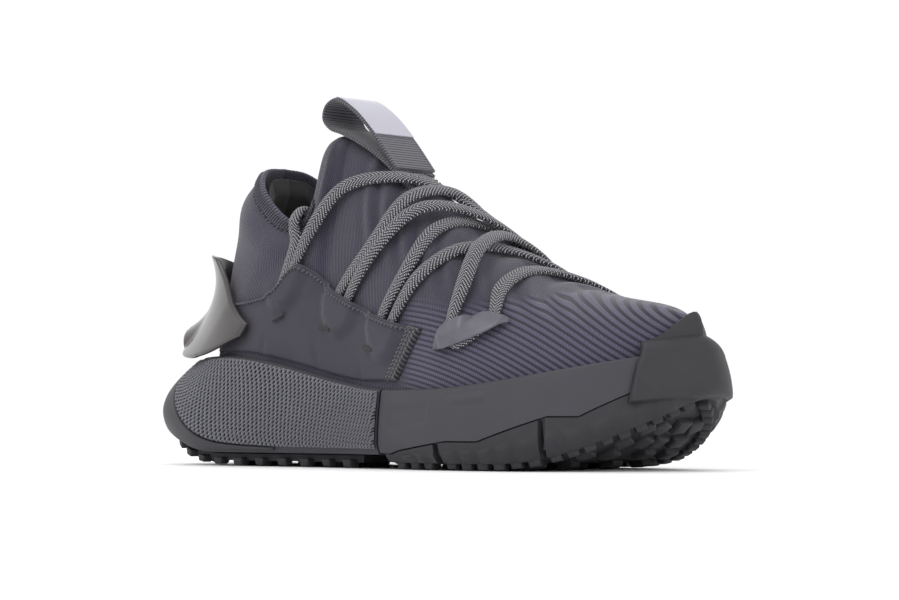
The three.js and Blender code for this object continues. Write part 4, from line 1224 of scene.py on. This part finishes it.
def rear_heel_pad():
    ts = np.linspace(-4.7, 4.7, 260)
    obj = wall_skin("rear_heel_pad", ts, lambda t: skin_low(share(t)), skin_split, 24, WEB + 0.3)
    finish(obj, "heel_pad_rubber", ("rear_heel_pad",))


# ------------------------------------------------------------------ outsole
def block(name, size, bevel, taper=0.85):
    """A bevelled block, its root at the origin and its tread towards +Z."""
    x, y, z = size
    mesh = bmesh.new()
    bmesh.ops.create_cube(mesh, size=1)
    for vertex in mesh.verts:
        narrow = taper if vertex.co.z > 0 else 1
        vertex.co = Vector((vertex.co.x * x * narrow, vertex.co.y * y * narrow, (vertex.co.z + 0.5) * z)) * MM
    bmesh.ops.bevel(mesh, geom=mesh.edges[:], offset=bevel * MM, segments=2, affect="EDGES", profile=0.6)
    data = bpy.data.meshes.new(name)
    mesh.to_mesh(data)
    mesh.free()
    obj = bpy.data.objects.new(name, data)
    bpy.context.scene.collection.objects.link(obj)
    return obj


PADS = {
    "outsole_heel": (1.2, 6.2, False, (1.8, 2.4, 3, 3.6, 4.2, 4.8, 5.5), (0.14, 0.5, 0.86)),
    "outsole_arch": (HEEL_END + 0.1, 7.9, True, (7.2, 7.6), (0.12, 0.38, 0.62, 0.88)),
    "outsole_ball": (8, 9.5, True, (8.3, 8.75, 9.2), (0.12, 0.37, 0.63, 0.88)),
    "outsole_toe": (9.6, 12, True, (9.9, 10.4, 10.9), (0.16, 0.38, 0.62, 0.84)),
}


def under_point(s, k):
    low = [plan_point(np.array(float(t)), np.array(sizes().bottom_tuck + 3.0),
        ground(share(t)) + sizes().lug_depth)
           for t in (s, TURNS - s)]
    return mix(low[0], low[1], k)


def outsole_pad(name):
    start, end, climbs, rows, columns = PADS[name]
    s = np.linspace(start, end, int((end - start) * 22))

    def low(u):
        return ground(u) + sizes().lug_depth

    def outer(t):
        u = share(t)
        top = foam_low(u) - 2 * CLEARANCE
        if not climbs:
            return [plan_point(t, np.full(t.shape, sizes().bottom_tuck + 1.0), low(u))]
        steps = np.linspace(1, 0, 12)
        return [wall(t, mix(low(u) + 0.6, top, k), tread(u, k)) for k in steps]

    def tread(u, k):
        step = np.abs(np.mod(u * 34, 1) - 0.5) * 2
        return -CLEARANCE + 0.9 * smooth((step - 0.3) / 0.2) * smooth((0.62 - k) / 0.12) * (u > 0.6)

    def inner(t):
        u = share(t)
        if not climbs:
            return [plan_point(t, np.full(t.shape, sizes().bottom_tuck + 1.4), foam_under(u) - CLEARANCE)]
        top = foam_low(u) - 2 * CLEARANCE
        return [wall(t, top, -FOAM_STEP), wall(t, foam_under(u) + 0.4, -FOAM_STEP),
                wall(t, foam_under(u) + 0.2, -FOAM_STEP - 0.3)]

    def tuck(u):
        return np.full(np.shape(u), sizes().bottom_tuck + 3.0)

    floor = across_sole(s, tuck, low)
    ceiling = across_sole(s, tuck, lambda u: foam_under(u) - CLEARANCE)
    rings = [*outer(s), *floor, *outer(TURNS - s)[::-1], *inner(TURNS - s), *ceiling[::-1], *inner(s)[::-1]]
    sheet = ring_body(name + "_sheet", np.stack(rings, 1))
    points, along, facing = [], [], []
    for i, row in enumerate(rows):
        for k in columns:
            k = k + (0.04 if i % 2 else -0.04) * (1 if k < 0.5 else -1)
            ahead, behind = under_point(row + 0.3, k), under_point(row - 0.3, k)
            way = unit(ahead - behind)
            points.append(under_point(row, k) + [0, 0, 1.2])
            along.append(way)
            facing.append(unit(np.cross(way, [0, 1.0, 0])))
    facing = np.array(facing) * -np.sign(np.array(facing)[:, 2:])
    lugs = scatter(name + "_lugs", block("lug", (8.2, 8.2, sizes().lug_depth + 1.1), 0.7), points, along,
        facing,
                   "outsole_rubber")
    return joined([sheet, lugs], name)


def tread_edge():
    """Small blocks round the edge of the tread, whose ends show below the sole's side."""
    s = np.r_[np.arange(2.2, 6.1, 0.42), np.arange(7.1, 7.9, 0.28), np.arange(8.1, 9.4, 0.26),
        np.arange(9.7, 11.7, 0.24)]
    t = np.r_[s, TURNS - s[::-1]]
    low = ground(share(t)) + sizes().lug_depth
    points = plan_point(t, np.full(t.shape, sizes().bottom_tuck + 0.4), low + 1.4)
    ahead = plan_point(t + 0.1, np.full(t.shape, sizes().bottom_tuck + 0.4), ground(share(t + 0.1)))
    behind = plan_point(t - 0.1, np.full(t.shape, sizes().bottom_tuck + 0.4), ground(share(t - 0.1)))
    way = unit(ahead - behind)
    facing = unit(np.cross(way, np.cross([0, 0, 1.0], way)))
    facing = facing * -np.sign(facing[:, 2:])
    piece = block("edge_lug", (5.4, 5.6, 1.4 + sizes().lug_depth * 0.8), 0.6, 0.8)
    return scatter("tread_edge", piece, points, way, facing, "outsole_rubber", variation=0.06)


def build_outsole():
    for name in PADS:
        finish(outsole_pad(name), "outsole_rubber", (name,))
    finish(tread_edge(), "outsole_rubber")


def toe_rubber():
    """The rubber that wraps the toe: up the wall, over the rim and onto the toe box."""
    across = np.linspace(-1, 1, 110)

    def narrowed(k):
        return TOE + np.where(across < 0, 1.3, 1.12) * across * (1 - 0.4 * k**1.5)

    def grid(d):
        rows = [wall(narrowed(0.4 * j), rim(share(narrowed(0.4 * j))) * mix(0.6, 0.95, j), d)
                for j in np.linspace(0, 1, 14)]
        t = narrowed(0.55)
        u = share(t)
        low = wall(t, rim(u), d)
        high = form(t, level_at(t, rim(u) + 5), np.full(t.shape, d))
        lip = np.concatenate([low[:, :2], (rim(u) + d)[:, None]], 1)
        rows += [mix(mix(rows[-1], lip, k), mix(lip, high, k), k) for k in np.linspace(0.1, 1, 12)]
        for k in np.linspace(0.1, 1, 12):
            t = narrowed(mix(0.55, 1, k))
            start = rim(share(t)) + 5
            top = np.maximum(mix(62, start, across**2), start + 0.5)
            rows.append(form(t, level_at(t, mix(start, top, k)), np.full(t.shape, d)))
        return np.stack(rows)

    inner = grid(0.9)
    uv = grid_uv(inner)
    full = rounded_edge(uv[..., 0], uv[..., 1], 2.0)
    outer = grid(3.0)
    lifted = mix(inner, outer, full[..., None])
    finish(slab("toe_rubber", lifted, inner - unit(outer - inner) * 0.1, uv, 50), "outsole_rubber",
        ("toe_rubber",))


# ------------------------------------------------------------------ footbed
def inset_plate(name, inset, low, high, rounding):
    """A plate on the footbed, as rings across it from the heel to the toe."""
    s = np.linspace(0, TOE, 150)

    def level(extra, z):
        return across_sole(s, lambda u: foot_inset(u) + inset + extra, lambda u: footbed(u) + z, 11)

    side = level(0, high - rounding)
    return ring_body(name, np.stack([*level(0, low), side[-1], *level(rounding, high)[::-1], side[0]], 1))


def build_footbed():
    finish(inset_plate("strobel_board", sizes().knit_thickness + 3 * CLEARANCE, 0.3, 1.8, 0), "board",
        ("strobel_board",))
    inset = sizes().knit_thickness + STIFFENER + CLEARANCE + 1.4
    liner = inset_plate("sockliner", inset, LINER_LOW, LINER_LOW + LINER_THICKNESS, 1.2)
    finish(liner, "sockliner", ("sockliner",), body="liner")


# ------------------------------------------------------------------ upper
def from_heel(t):
    t = np.mod(t, TURNS)
    return np.minimum(t, TURNS - t)


def hump(x, centre, width):
    return np.exp(-(((x - centre) / width) ** 2))


def upper_relief(t, v):
    """Padding, folds and ridges of the knit, in millimetres."""
    s = from_heel(t)
    roll = 2.4 * hump(v, 0.8, 0.1) * (1 - smooth((s - 3.2) / 1.2))
    groove = -0.5 * hump(v, 0.92, 0.018) * (1 - smooth((s - 4.3) / 0.8))
    bow = s - 1.5 * (1 - v) ** 2
    folds = 1.0 * np.cos(2 * np.pi * bow / 0.43) * smooth((v - 0.42) / 0.25) * smooth((s - 5.9) / 0.3)
    folds = folds * (1 - smooth((s - 9.4) / 0.8))
    tongue = 0.5 * np.cos(2 * np.pi * bow / 0.3) * smooth((v - 0.7) / 0.15) * hump(s, 6.3, 0.35)
    crease = -0.9 * hump(s - 0.35 * (1 - v), 5.15,
        0.12) * smooth((v - 0.25) / 0.2) * smooth((0.97 - v) / 0.05)
    return roll + groove + folds + tongue + crease


RIBBED_TOP = Keyed([[7, 0.33], [8, 0.37], [8.8, 0.5], [9.6, 0.72], [10.2, 1.2], [12, 1.3]])


def knit_bootie():
    """The knit shell of the upper, open at the collar, in one skin."""
    v = np.linspace(0, 1, 73)[:, None]
    parts = [np.linspace(-TONGUE_AT, TONGUE_AT, 297), np.linspace(TONGUE_AT, TOE, 150)]
    parts.append(TURNS - parts[1])
    co, faces, uvs, ribbed, rimmed = [], [], [], [], []
    start, rear_u = 0, None
    for i, ts in enumerate(parts):
        t = np.broadcast_to(ts, (len(v), len(ts)))
        height = np.broadcast_to(v, t.shape)
        outer = form(t, height, upper_relief(t, height))
        inner = form(t, height, np.full(t.shape, -sizes().knit_thickness))
        up = unit(outer[-1] - outer[-2])
        lip = [(outer[-1] * 2 + inner[-1]) / 3 + up * 0.7, (outer[-1] + inner[-1] * 2) / 3 + up * 0.7]
        if i == 0:
            u = running(outer, 1, len(ts) // 2)
            rear_u = u[:, [-1, 0]]
        else:
            u = rear_u[:, [i - 1]] + running(outer, 1, 0) * (1 if i == 1 else -1)
        uv = np.stack([u, running(outer, 0, -1)], -1)
        layers = [outer, lip[0][None], lip[1][None], inner[::-1]] if i == 0 else [outer, inner[::-1]]
        whole = np.concatenate(layers)
        across = np.concatenate([uv, *[uv[-1:]] * (len(layers) - 2), uv[::-1]])
        rows, columns = whole.shape[:2]
        n = len(v)
        made = grid_faces(rows, columns, start)
        if i:
            made = np.delete(made, np.arange((n - 1) * (columns - 1), n * (columns - 1)), 0)
        bottom = np.arange(columns - 1) + start
        last = bottom + (rows - 1) * columns
        faces += [made, np.stack([bottom, last, last + 1, bottom + 1], -1)]
        s = from_heel(t)
        front = smooth((s - 7.0) / 0.3) * (1 - smooth((height - RIBBED_TOP(s)[..., 0]) / 0.1))
        rim_ribs = smooth((height - 0.905) / 0.02) * (1 - smooth((s - 5.2) / 0.3))
        for store, values in ((ribbed, front), (rimmed, rim_ribs)):
            store.append(np.concatenate([values, *[values[-1:]] * (len(layers) - 2),
                values[::-1] * 0]).ravel())
        co.append(whole.reshape(-1, 3))
        uvs.append(across.reshape(-1, 2))
        start += rows * columns
    obj = new_object("knit_bootie", to_frame(np.concatenate(co)), np.concatenate(faces), np.concatenate(uvs))
    give_attribute(obj, "Ribbed", np.concatenate(ribbed))
    give_attribute(obj, "Rim ribs", np.concatenate(rimmed))
    finish(welded(obj, sharp=60), "upper_knit", ("knit_bootie",))


def lining_pieces():
    for name, mirrored in (("collar_pad_lateral", False), ("collar_pad_medial", True)):
        def thickness(t, v, uv):
            return -(lining_outer(t, v) + STIFFENER) - UNDER_KNIT - 0.1
        ts = np.linspace(0.6, 3.9, 90)
        pad = patch(name, ts, constant(0.6), constant(0.94), 24, lambda t,
            v: lining_outer(t, v) + STIFFENER, 0.1,
                    mirrored, thickness, 3.0)
        finish(pad, "padding", (name,))
    lining = patch("collar_lining", np.linspace(-4.3, 4.3, 220), constant(0.36), constant(0.97), 50,
                   lambda t, v: lining_outer(t, v) - 1, 1.0)
    finish(lining, "lining", ("collar_lining",))
    under = constant(-UNDER_KNIT - STIFFENER)
    for name, ends, high in (("heel_stiffener", (-3.2, 3.2), 0.5), ("toe_puff", (10.8, 13.2), 0.7)):
        low = 0.2 if name == "heel_stiffener" else 0.14
        piece = patch(name, np.linspace(*ends, 80), constant(low), constant(high), 24, under, STIFFENER)
        finish(piece, "board", (name,))


def collar_band():
    def ribs(t, v, uv):
        return 0.25 * np.cos(2 * np.pi * uv[..., 0] / 1.5)
    band = patch("collar_band", np.linspace(-4.2, 4.2, 480), constant(0.93), constant(0.985), 8,
        constant(DRAPE - 0.5),
                 0.9, relief=ribs, radius=0.7)
    finish(band, "collar_rib", ("collar_band",))
    t = np.linspace(-4.1, 4.1, 400)
    line = form(t, np.full(t.shape, 0.918), upper_relief(t, np.full(t.shape, 0.918)) + 0.15)
    finish(stitched_line("collar_stitches", line, outwards(t, 0.918), 2.6, 0.7, "thread", 0.5), "thread")


# ------------------------------------------------------------------ saddles, films and bar-tacks
FRONT_LEAN = (-0.4, 0.12)  # of a saddle's front edge at its foot and its top, as outline parameter


def over_knit(base):
    return lambda t, v: base + tunnel_rise(t, v)


def embossed(t, v, uv):
    """Short oval dashes pressed into the saddle below its bar-tacks."""
    depth = np.zeros(t.shape)
    for s, q in TACKS:
        side = np.mod(t, TURNS) > TOE
        if side.any() != (q > 0):
            continue
        here = from_heel(t) - (s - 0.22 - 0.05 * (1 - abs(q)))
        height = v - (1 - abs(q) - 0.1)
        depth -= 0.7 * hump(np.hypot((here + height * 1.1) / 0.07, height / 0.045), 0, 1)
    return depth


def build_saddles():
    for side, (top, front, mirrored) in SADDLES.items():
        def low(t):
            return on_rim(t)

        def high(t):
            return top(from_heel(t))[..., 0]

        ts = np.linspace(2.8, front, 250)
        saddle = patch("saddle_" + side, ts, low, high, 70, over_knit(DRAPE), QUARTER, mirrored, embossed,
            1.2,
                       lean=lambda j, k: smooth((j - 0.55) / 0.45) * mix(*FRONT_LEAN, k))
        finish(saddle, "saddle", ("saddle_" + side,))
        end = float(top(front)[0]) - 0.02
        band = patch("edge_band_" + side, np.linspace(front - 0.04, front + 0.2, 12), low,
            constant(end + 0.02), 60,
                     constant(DRAPE - 0.3), QUARTER + 0.8, mirrored,
                     lambda t, v, uv: 0.5 * np.cos(2 * np.pi * uv[..., 1] / 1.9), 1.2,
                     lean=lambda j, k: mix(*FRONT_LEAN, k) + 0 * j)
        finish(band, "edge_knit", ("edge_band_" + side,))
        s = np.linspace(2.9, front, 260)
        v = high(s) - 0.016
        s = s + smooth((s - 2.8) / (front - 2.8) / 0.45 - 0.55 / 0.45) * FRONT_LEAN[1]
        t = TURNS - s if mirrored else s
        line = form(t, v, DRAPE + QUARTER + tunnel_rise(t, v) + 0.1)
        chain = stitched_line("saddle_chain_" + side, line, outwards(t, v), 2.1, 1.1, "edge_knit", 0.55)
        finish(chain, "edge_knit")


def build_films():
    for side, (keys, mirrored) in FILMS.items():
        edges = Keyed(keys)
        ts = np.linspace(keys[0][0], keys[-1][0], 90)
        film = patch("film_" + side, ts, lambda t: edges(from_heel(t))[..., 0],
            lambda t: edges(from_heel(t))[..., 1],
                     40, over_knit(DRAPE), 0.7, mirrored, None, 1.5)
        finish(film, "film", ("film_" + side,))


def build_bar_tacks():
    for i, (s, q) in enumerate(TACKS):
        t = np.array(TURNS - s if q > 0 else s)
        v = np.array(1 - abs(q))
        normal = outwards(t, v)
        along = unit(form(t + 0.1, v) - form(t - 0.1, v))
        middle = form(t, v, DRAPE + QUARTER + tunnel_rise(t, v) + 1.2)
        k = np.linspace(-1, 1, 17)[:, None]
        points = middle + along * k * 3.2
        threads = scatter(f"bar_tack_{i + 1}", stitch(1.9, 0.6), points, np.cross(normal, along), normal,
            "thread")
        finish(threads, "thread", (f"bar_tack_{i + 1}",))


# ------------------------------------------------------------------ laces
def build_lace():
    lace, _ = sweep_cord("lace", [on_instep(stop) for stop in lace_stops()], sizes().lace_width,
        sizes().lace_thickness)
    finish(lace, "lace", ("lace",))


def aglet(side, stops):
    """The plastic tip of a lace: a shrunk tube with a rounded end."""
    tip = stops[-1][0]
    tail = END_ON_LINER[-1] + 20 / sizes().sole_length
    end = np.array([tail * sizes().sole_length, tip[1], liner_top(tail) + 1.6 + 3 * CLEARANCE])
    along = unit(end - tip)
    across = unit(np.cross(along, [0, 0, 1.0]))
    up = np.cross(across, along)
    run = np.r_[-1.5, -1.3, np.linspace(-0.9, 19.4, 24), 19.9, 20.1]
    radius = np.interp(run, [-1.5, -1.3, 0, 1, 19.2, 19.9, 20.1], [1.2, 1.75, 1.75, 1.6, 1.5, 1.1, 0.7])
    a = np.arange(20) * 2 * np.pi / 20
    ring = across * np.cos(a)[:, None] + up * np.sin(a)[:, None]
    rings = (tip + along * (run[:, None] + 0.6))[:, None] + ring[None] * radius[:, None, None]
    return finish(ring_body("aglet_" + side, rings), "aglet", ("aglet_" + side,), body="liner")


def build_free_ends():
    for side, stops in free_ends().items():
        tip = aglet(side, stops)
        cord, line = sweep_cord("lace_end_" + side, stops, sizes().lace_width, sizes().lace_thickness)
        finish(cord, "lace", ("lace_end_" + side,), body=None)
        down, floor = to_frame(stops[-8][0]), to_frame(stops[-4][0])
        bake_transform(cord)
        path = to_frame(line)


# ------------------------------------------------------------------ heel counter
COUNTER_HIGH = Keyed([[0, 89], [1, 92], [1.8, 92], [2.4, 84], [3, 74], [3.5, 66], [3.8, 62]])
COUNTER_LOW = Keyed([[0, 60], [1, 57], [1.8, 49], [2.6, 46.5], [3.2, 48.5], [3.8, 56]])
LOWER_FLARE = Keyed([[0, 17], [1, 15], [2, 12], [3, 8], [3.8, 2]])
WAIST = 79
COUNTER = 2.0
COUNTER_BASE = DRAPE + QUARTER + 0.6


def counter_offset(t, v):
    """Gap between the foot form and the counter's inner face, which flares above and below the waist."""
    z = form(t, v)[..., 2]
    reach = smooth(1.25 - from_heel(t) / 3.4)
    drop = np.clip((WAIST - z) / (WAIST - COUNTER_LOW(from_heel(t))[..., 0]), 0, 1.1)
    flare = np.where(z > WAIST, reach * 9 * ((z - WAIST) / 19) ** 2,
        LOWER_FLARE(from_heel(t))[..., 0] * drop**2)
    return COUNTER_BASE + 2.5 * reach + flare


def build_counter():
    counter = patch("heel_counter", np.linspace(-3.8, 3.8, 240),
        lambda t: level_at(t, COUNTER_LOW(from_heel(t))[..., 0]),
                    lambda t: level_at(t,
                        COUNTER_HIGH(from_heel(t))[..., 0]), 60, counter_offset, COUNTER, radius=1.6,
                    sharp=80)
    finish(counter, "counter_plastic", ("heel_counter",))

    def ring(t, v, uv):
        edge = np.minimum(np.abs(uv[..., 0] - uv[..., 0].min()), np.abs(uv[..., 0].max() - uv[..., 0]))
        edge = np.minimum(edge,
            np.minimum(np.abs(uv[..., 1] - uv[..., 1].min()), np.abs(uv[..., 1].max() - uv[..., 1])))
        return 0.35 * hump(edge, 1.6, 0.7)

    badge = patch("heel_badge", np.linspace(-0.4, 0.4, 70), lambda t: level_at(t, np.full(t.shape, 70.0)),
                  lambda t: level_at(t, np.full(t.shape, 88.0)), 70, lambda t, v: counter_offset(t,
                      v) + COUNTER + 0.1,
                  1.4, relief=ring, radius=0.8)
    finish(badge, "badge", ("heel_badge",))


# ------------------------------------------------------------------ pull loop
LOOP_HINGE = 6.64
LOOP_SIDE = [
    (0, 0.6), (-12, 9.4), (-24, 16.2), (-34, 20.6), (-41, 23.2), (-44.5, 27.5), (-43, 32.8), (-37,
        35.4), (-26, 29.8),
    (-13, 17.8), (0, 2.7),
]


def loop_line(first, last, count):
    """Centre line of the folded webbing between two of its stops, with the direction out of the fold."""
    root = form(np.array(LOOP_HINGE), np.array(1.0), np.array(DRAPE + sizes().webbing_thickness / 2))
    stops = [[root[0] + x, 1.0, root[2] + z] for x, z in LOOP_SIDE]
    line = centripetal(stops, 600)
    share_from, share_to = first / (len(stops) - 1), last / (len(stops) - 1)
    line = line[int(share_from * 599):int(share_to * 599) + 1]
    line = evenly(line, 0.02)[1]
    line = line[np.linspace(0, len(line) - 1, count).astype(int)]
    tangent = unit(np.gradient(line, axis=0))
    return line, np.stack([tangent[:, 2], 0 * line[:, 0], -tangent[:, 0]], -1)


def band(name, line, outward, low, high, width, edge=0.0):
    """Flat webbing along a line from offset low to high, thicker by edge at its selvedges."""
    y = np.linspace(-0.5, 0.5, 31)
    near = np.clip((0.5 - np.abs(y)) * width / 0.5, 0, 1)
    thick = mix(0.35, 1, np.sqrt(1 - (1 - near) ** 2)) + edge * (np.abs(y) > 0.5 - 1.6 / width)
    middle = (low + high) / 2
    half = (high - low) / 2 * thick
    side = np.stack([0 * y, y * width, 0 * y], -1)
    top = line[:, None] + side[None] + outward[:, None] * (middle + half)[None, :, None]
    under = line[:, None] + side[None] + outward[:, None] * (middle - half)[None, :, None]
    run = running(line[:, None], 0, 0)
    uv = np.stack(np.broadcast_arrays((y * width)[None], run), -1)
    return slab(name, top, under, uv, 60)


def build_pull_loop():
    half = sizes().webbing_thickness / 2
    width = sizes().webbing_width
    line, outward = loop_line(0, 10, 150)
    finish(band("pull_loop", line, outward, -half, half, width, 0.35), "webbing", ("pull_loop",), body="loop")
    line, outward = loop_line(7, 9, 40)
    label = band("pull_loop_label", line, outward, -half - 0.75, -half - 0.15, width - 1)
    finish(label, "label", ("pull_loop_label",), body="loop")
    base = base_patch()
    finish(base, "webbing", ("pull_loop_base",))
    finish(base_stitches(), "thread")


def base_grid(offset, edge):
    s = mix(6.6, 7.02, np.linspace(edge, 1 - edge, 34))
    q = mix(-0.125, 0.125, np.linspace(edge, 1 - edge, 44))[:, None]
    t = np.where(q < 0, s, TURNS - s)
    return form(t, 1 - np.abs(np.broadcast_to(q, t.shape)), np.full(t.shape, offset)), s, q


def base_patch():
    under, _, _ = base_grid(DRAPE - 0.5, 0)
    uv = grid_uv(under)[..., ::-1]
    full = rounded_edge(uv[..., 1], uv[..., 0], 1.0)
    over, _, _ = base_grid(DRAPE + 2.2, 0)
    return slab("pull_loop_base", mix(under, over, mix(0.3, 1, full)[..., None]), under, uv, 60)


def base_stitches():
    grid, _, _ = base_grid(DRAPE + 2.3, 0.08)
    loop = np.concatenate([grid[0], grid[1:, -1], grid[-1, -2::-1], grid[-2::-1, 0]])
    normals = unit(grid - base_grid(DRAPE, 0.08)[0])
    facing = np.concatenate([normals[0], normals[1:, -1], normals[-1, -2::-1], normals[-2::-1, 0]])
    return stitched_line("base_stitches", loop, facing, 2.2, 0.6, "thread")


# ------------------------------------------------------------------ stage
CAMERA_PLACE = (901.5, -798.6, 23.0)  # from the heel's rearmost point, in mm
CAMERA_AIM = (-0.682, 0.731)
CAMERA_PITCH = 2.54
LENS = 102.4


def build_stage():
    scene = bpy.context.scene
    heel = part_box("heel_foam")[0][0]
    camera = bpy.data.objects.new("camera", bpy.data.cameras.new("camera"))
    scene.collection.objects.link(camera)
    camera.data.lens, camera.data.sensor_width = LENS, 36
    camera.data.clip_start, camera.data.clip_end = 0.05, 50
    camera.location = Vector(CAMERA_PLACE) * MM + Vector((heel, 0, 0))
    aim = Vector((*CAMERA_AIM, math.tan(math.radians(CAMERA_PITCH))))
    camera.rotation_euler = aim.to_track_quat("-Z", "Y").to_euler()
    scene.camera = camera
    world = bpy.data.worlds.new("studio")
    world.use_nodes = True
    world.node_tree.nodes["Background"].inputs["Color"].default_value = (1.0, 1.0, 1.0, 1)
    world.node_tree.nodes["Background"].inputs["Strength"].default_value = 1.02
    scene.world = world
    scene.view_settings.view_transform = "Standard"
    floor = new_object("floor", [(-6, -6, 0), (6, -6, 0), (6, 6, 0), (-6, 6, 0)], [(0, 1, 2, 3)])
    finish_floor(floor)
    lights = [soft_light(*spec) for spec in (
        ("key", (0.1, -1.3, 1.3), 1.1, 9), ("fill", (1.6, -0.2, 0.7), 1.0, 3), ("back", (-1.2, 0.8, 1.2),
            1.0, 6),
    )]


def finish_floor(floor):
    floor.data.materials.append(made_material("floor"))


def soft_light(name, place, size, power):
    light = bpy.data.lights.new(name, "AREA")
    light.shape, light.size, light.energy = "DISK", size, power
    obj = bpy.data.objects.new(name, light)
    bpy.context.scene.collection.objects.link(obj)
    obj.location = place
    obj.rotation_euler = (Vector((0, 0, 0.07)) - Vector(place)).to_track_quat("-Z", "Y").to_euler()
    return obj


# ------------------------------------------------------------------ operators
class SHOE_OT_stage(bpy.types.Operator):
    """Add the camera, the lights and the floor"""

    bl_idname = "shoe.stage"
    bl_label = "Stage"

    def execute(self, context):
        build_stage()
        return {"FINISHED"}


class SHOE_OT_free_ends(bpy.types.Operator):
    """Add both free ends of the lace with their tips"""

    bl_idname = "shoe.free_ends"
    bl_label = "Lace ends"

    def execute(self, context):
        build_free_ends()
        return {"FINISHED"}


class SHOE_OT_lace(bpy.types.Operator):
    """Add the laced part of the lace"""

    bl_idname = "shoe.lace"
    bl_label = "Lace"

    def execute(self, context):
        build_lace()
        return {"FINISHED"}


class SHOE_OT_midsole(bpy.types.Operator):
    """Add both blocks of foam"""

    bl_idname = "shoe.midsole"
    bl_label = "Midsole"

    def execute(self, context):
        midsole("heel_foam", 0, HEEL_END - JOINT_GAP, False)
        midsole("forefoot_foam", HEEL_END + JOINT_GAP, TOE, True)
        return {"FINISHED"}


class SHOE_OT_sole_skins(bpy.types.Operator):
    """Add the net and the rear pad on the heel's foam"""

    bl_idname = "shoe.sole_skins"
    bl_label = "Sole skins"

    def execute(self, context):
        sole_mesh()
        rear_heel_pad()
        return {"FINISHED"}


class SHOE_OT_outsole(bpy.types.Operator):
    """Add the rubber pads with their lugs"""

    bl_idname = "shoe.outsole"
    bl_label = "Outsole"

    def execute(self, context):
        build_outsole()
        return {"FINISHED"}


class SHOE_OT_toe_rubber(bpy.types.Operator):
    """Add the rubber that wraps the toe"""

    bl_idname = "shoe.toe_rubber"
    bl_label = "Toe rubber"

    def execute(self, context):
        toe_rubber()
        return {"FINISHED"}


class SHOE_OT_footbed(bpy.types.Operator):
    """Add the insole board and the sockliner"""

    bl_idname = "shoe.footbed"
    bl_label = "Footbed"

    def execute(self, context):
        build_footbed()
        return {"FINISHED"}


class SHOE_OT_bootie(bpy.types.Operator):
    """Add the knit shell of the upper"""

    bl_idname = "shoe.bootie"
    bl_label = "Knit bootie"

    def execute(self, context):
        knit_bootie()
        return {"FINISHED"}


class SHOE_OT_lining(bpy.types.Operator):
    """Add padding, lining and stiffeners inside the upper"""

    bl_idname = "shoe.lining"
    bl_label = "Lining"

    def execute(self, context):
        lining_pieces()
        return {"FINISHED"}


class SHOE_OT_collar(bpy.types.Operator):
    """Add the ribbed band of the collar and its stitches"""

    bl_idname = "shoe.collar"
    bl_label = "Collar band"

    def execute(self, context):
        collar_band()
        return {"FINISHED"}


class SHOE_OT_saddles(bpy.types.Operator):
    """Add both saddles with their edges and bar-tacks"""

    bl_idname = "shoe.saddles"
    bl_label = "Saddles"

    def execute(self, context):
        build_saddles()
        build_bar_tacks()
        return {"FINISHED"}


class SHOE_OT_films(bpy.types.Operator):
    """Add the films round the front eyelets"""

    bl_idname = "shoe.films"
    bl_label = "Films"

    def execute(self, context):
        build_films()
        return {"FINISHED"}


class SHOE_OT_counter(bpy.types.Operator):
    """Add the heel counter and its badge"""

    bl_idname = "shoe.counter"
    bl_label = "Heel counter"

    def execute(self, context):
        build_counter()
        return {"FINISHED"}


class SHOE_OT_pull_loop(bpy.types.Operator):
    """Add the pull loop, its label and its base"""

    bl_idname = "shoe.pull_loop"
    bl_label = "Pull loop"

    def execute(self, context):
        build_pull_loop()
        return {"FINISHED"}


OPERATORS = (
    SHOE_OT_stage, SHOE_OT_free_ends, SHOE_OT_lace, SHOE_OT_midsole, SHOE_OT_sole_skins, SHOE_OT_outsole,
    SHOE_OT_toe_rubber, SHOE_OT_footbed, SHOE_OT_bootie, SHOE_OT_lining, SHOE_OT_collar, SHOE_OT_saddles,
    SHOE_OT_films, SHOE_OT_counter, SHOE_OT_pull_loop,
)


class SHOE_PT_panel(bpy.types.Panel):
    """Lists the shoe's sizes and pieces"""

    bl_idname = "SHOE_PT_panel"
    bl_label = "Running shoe"
    bl_space_type = "VIEW_3D"
    bl_region_type = "UI"
    bl_category = "Shoe"

    def draw(self, context):
        for name in ShoeSizes.__annotations__:
            self.layout.prop(context.scene.shoe_sizes, name)
        for operator in OPERATORS:
            self.layout.operator(operator.bl_idname)


def register():
    for cls in (ShoeSizes, *OPERATORS, SHOE_PT_panel):
        bpy.utils.register_class(cls)
    bpy.types.Scene.shoe_sizes = PointerProperty(type=ShoeSizes)


def unregister():
    del bpy.types.Scene.shoe_sizes
    for cls in (SHOE_PT_panel, *reversed(OPERATORS), ShoeSizes):
        bpy.utils.unregister_class(cls)


def main():
    register()
    for operator in OPERATORS:
        group, name = operator.bl_idname.split(".")
        getattr(getattr(bpy.ops, group), name)()


if __name__ == "__main__":
    main()
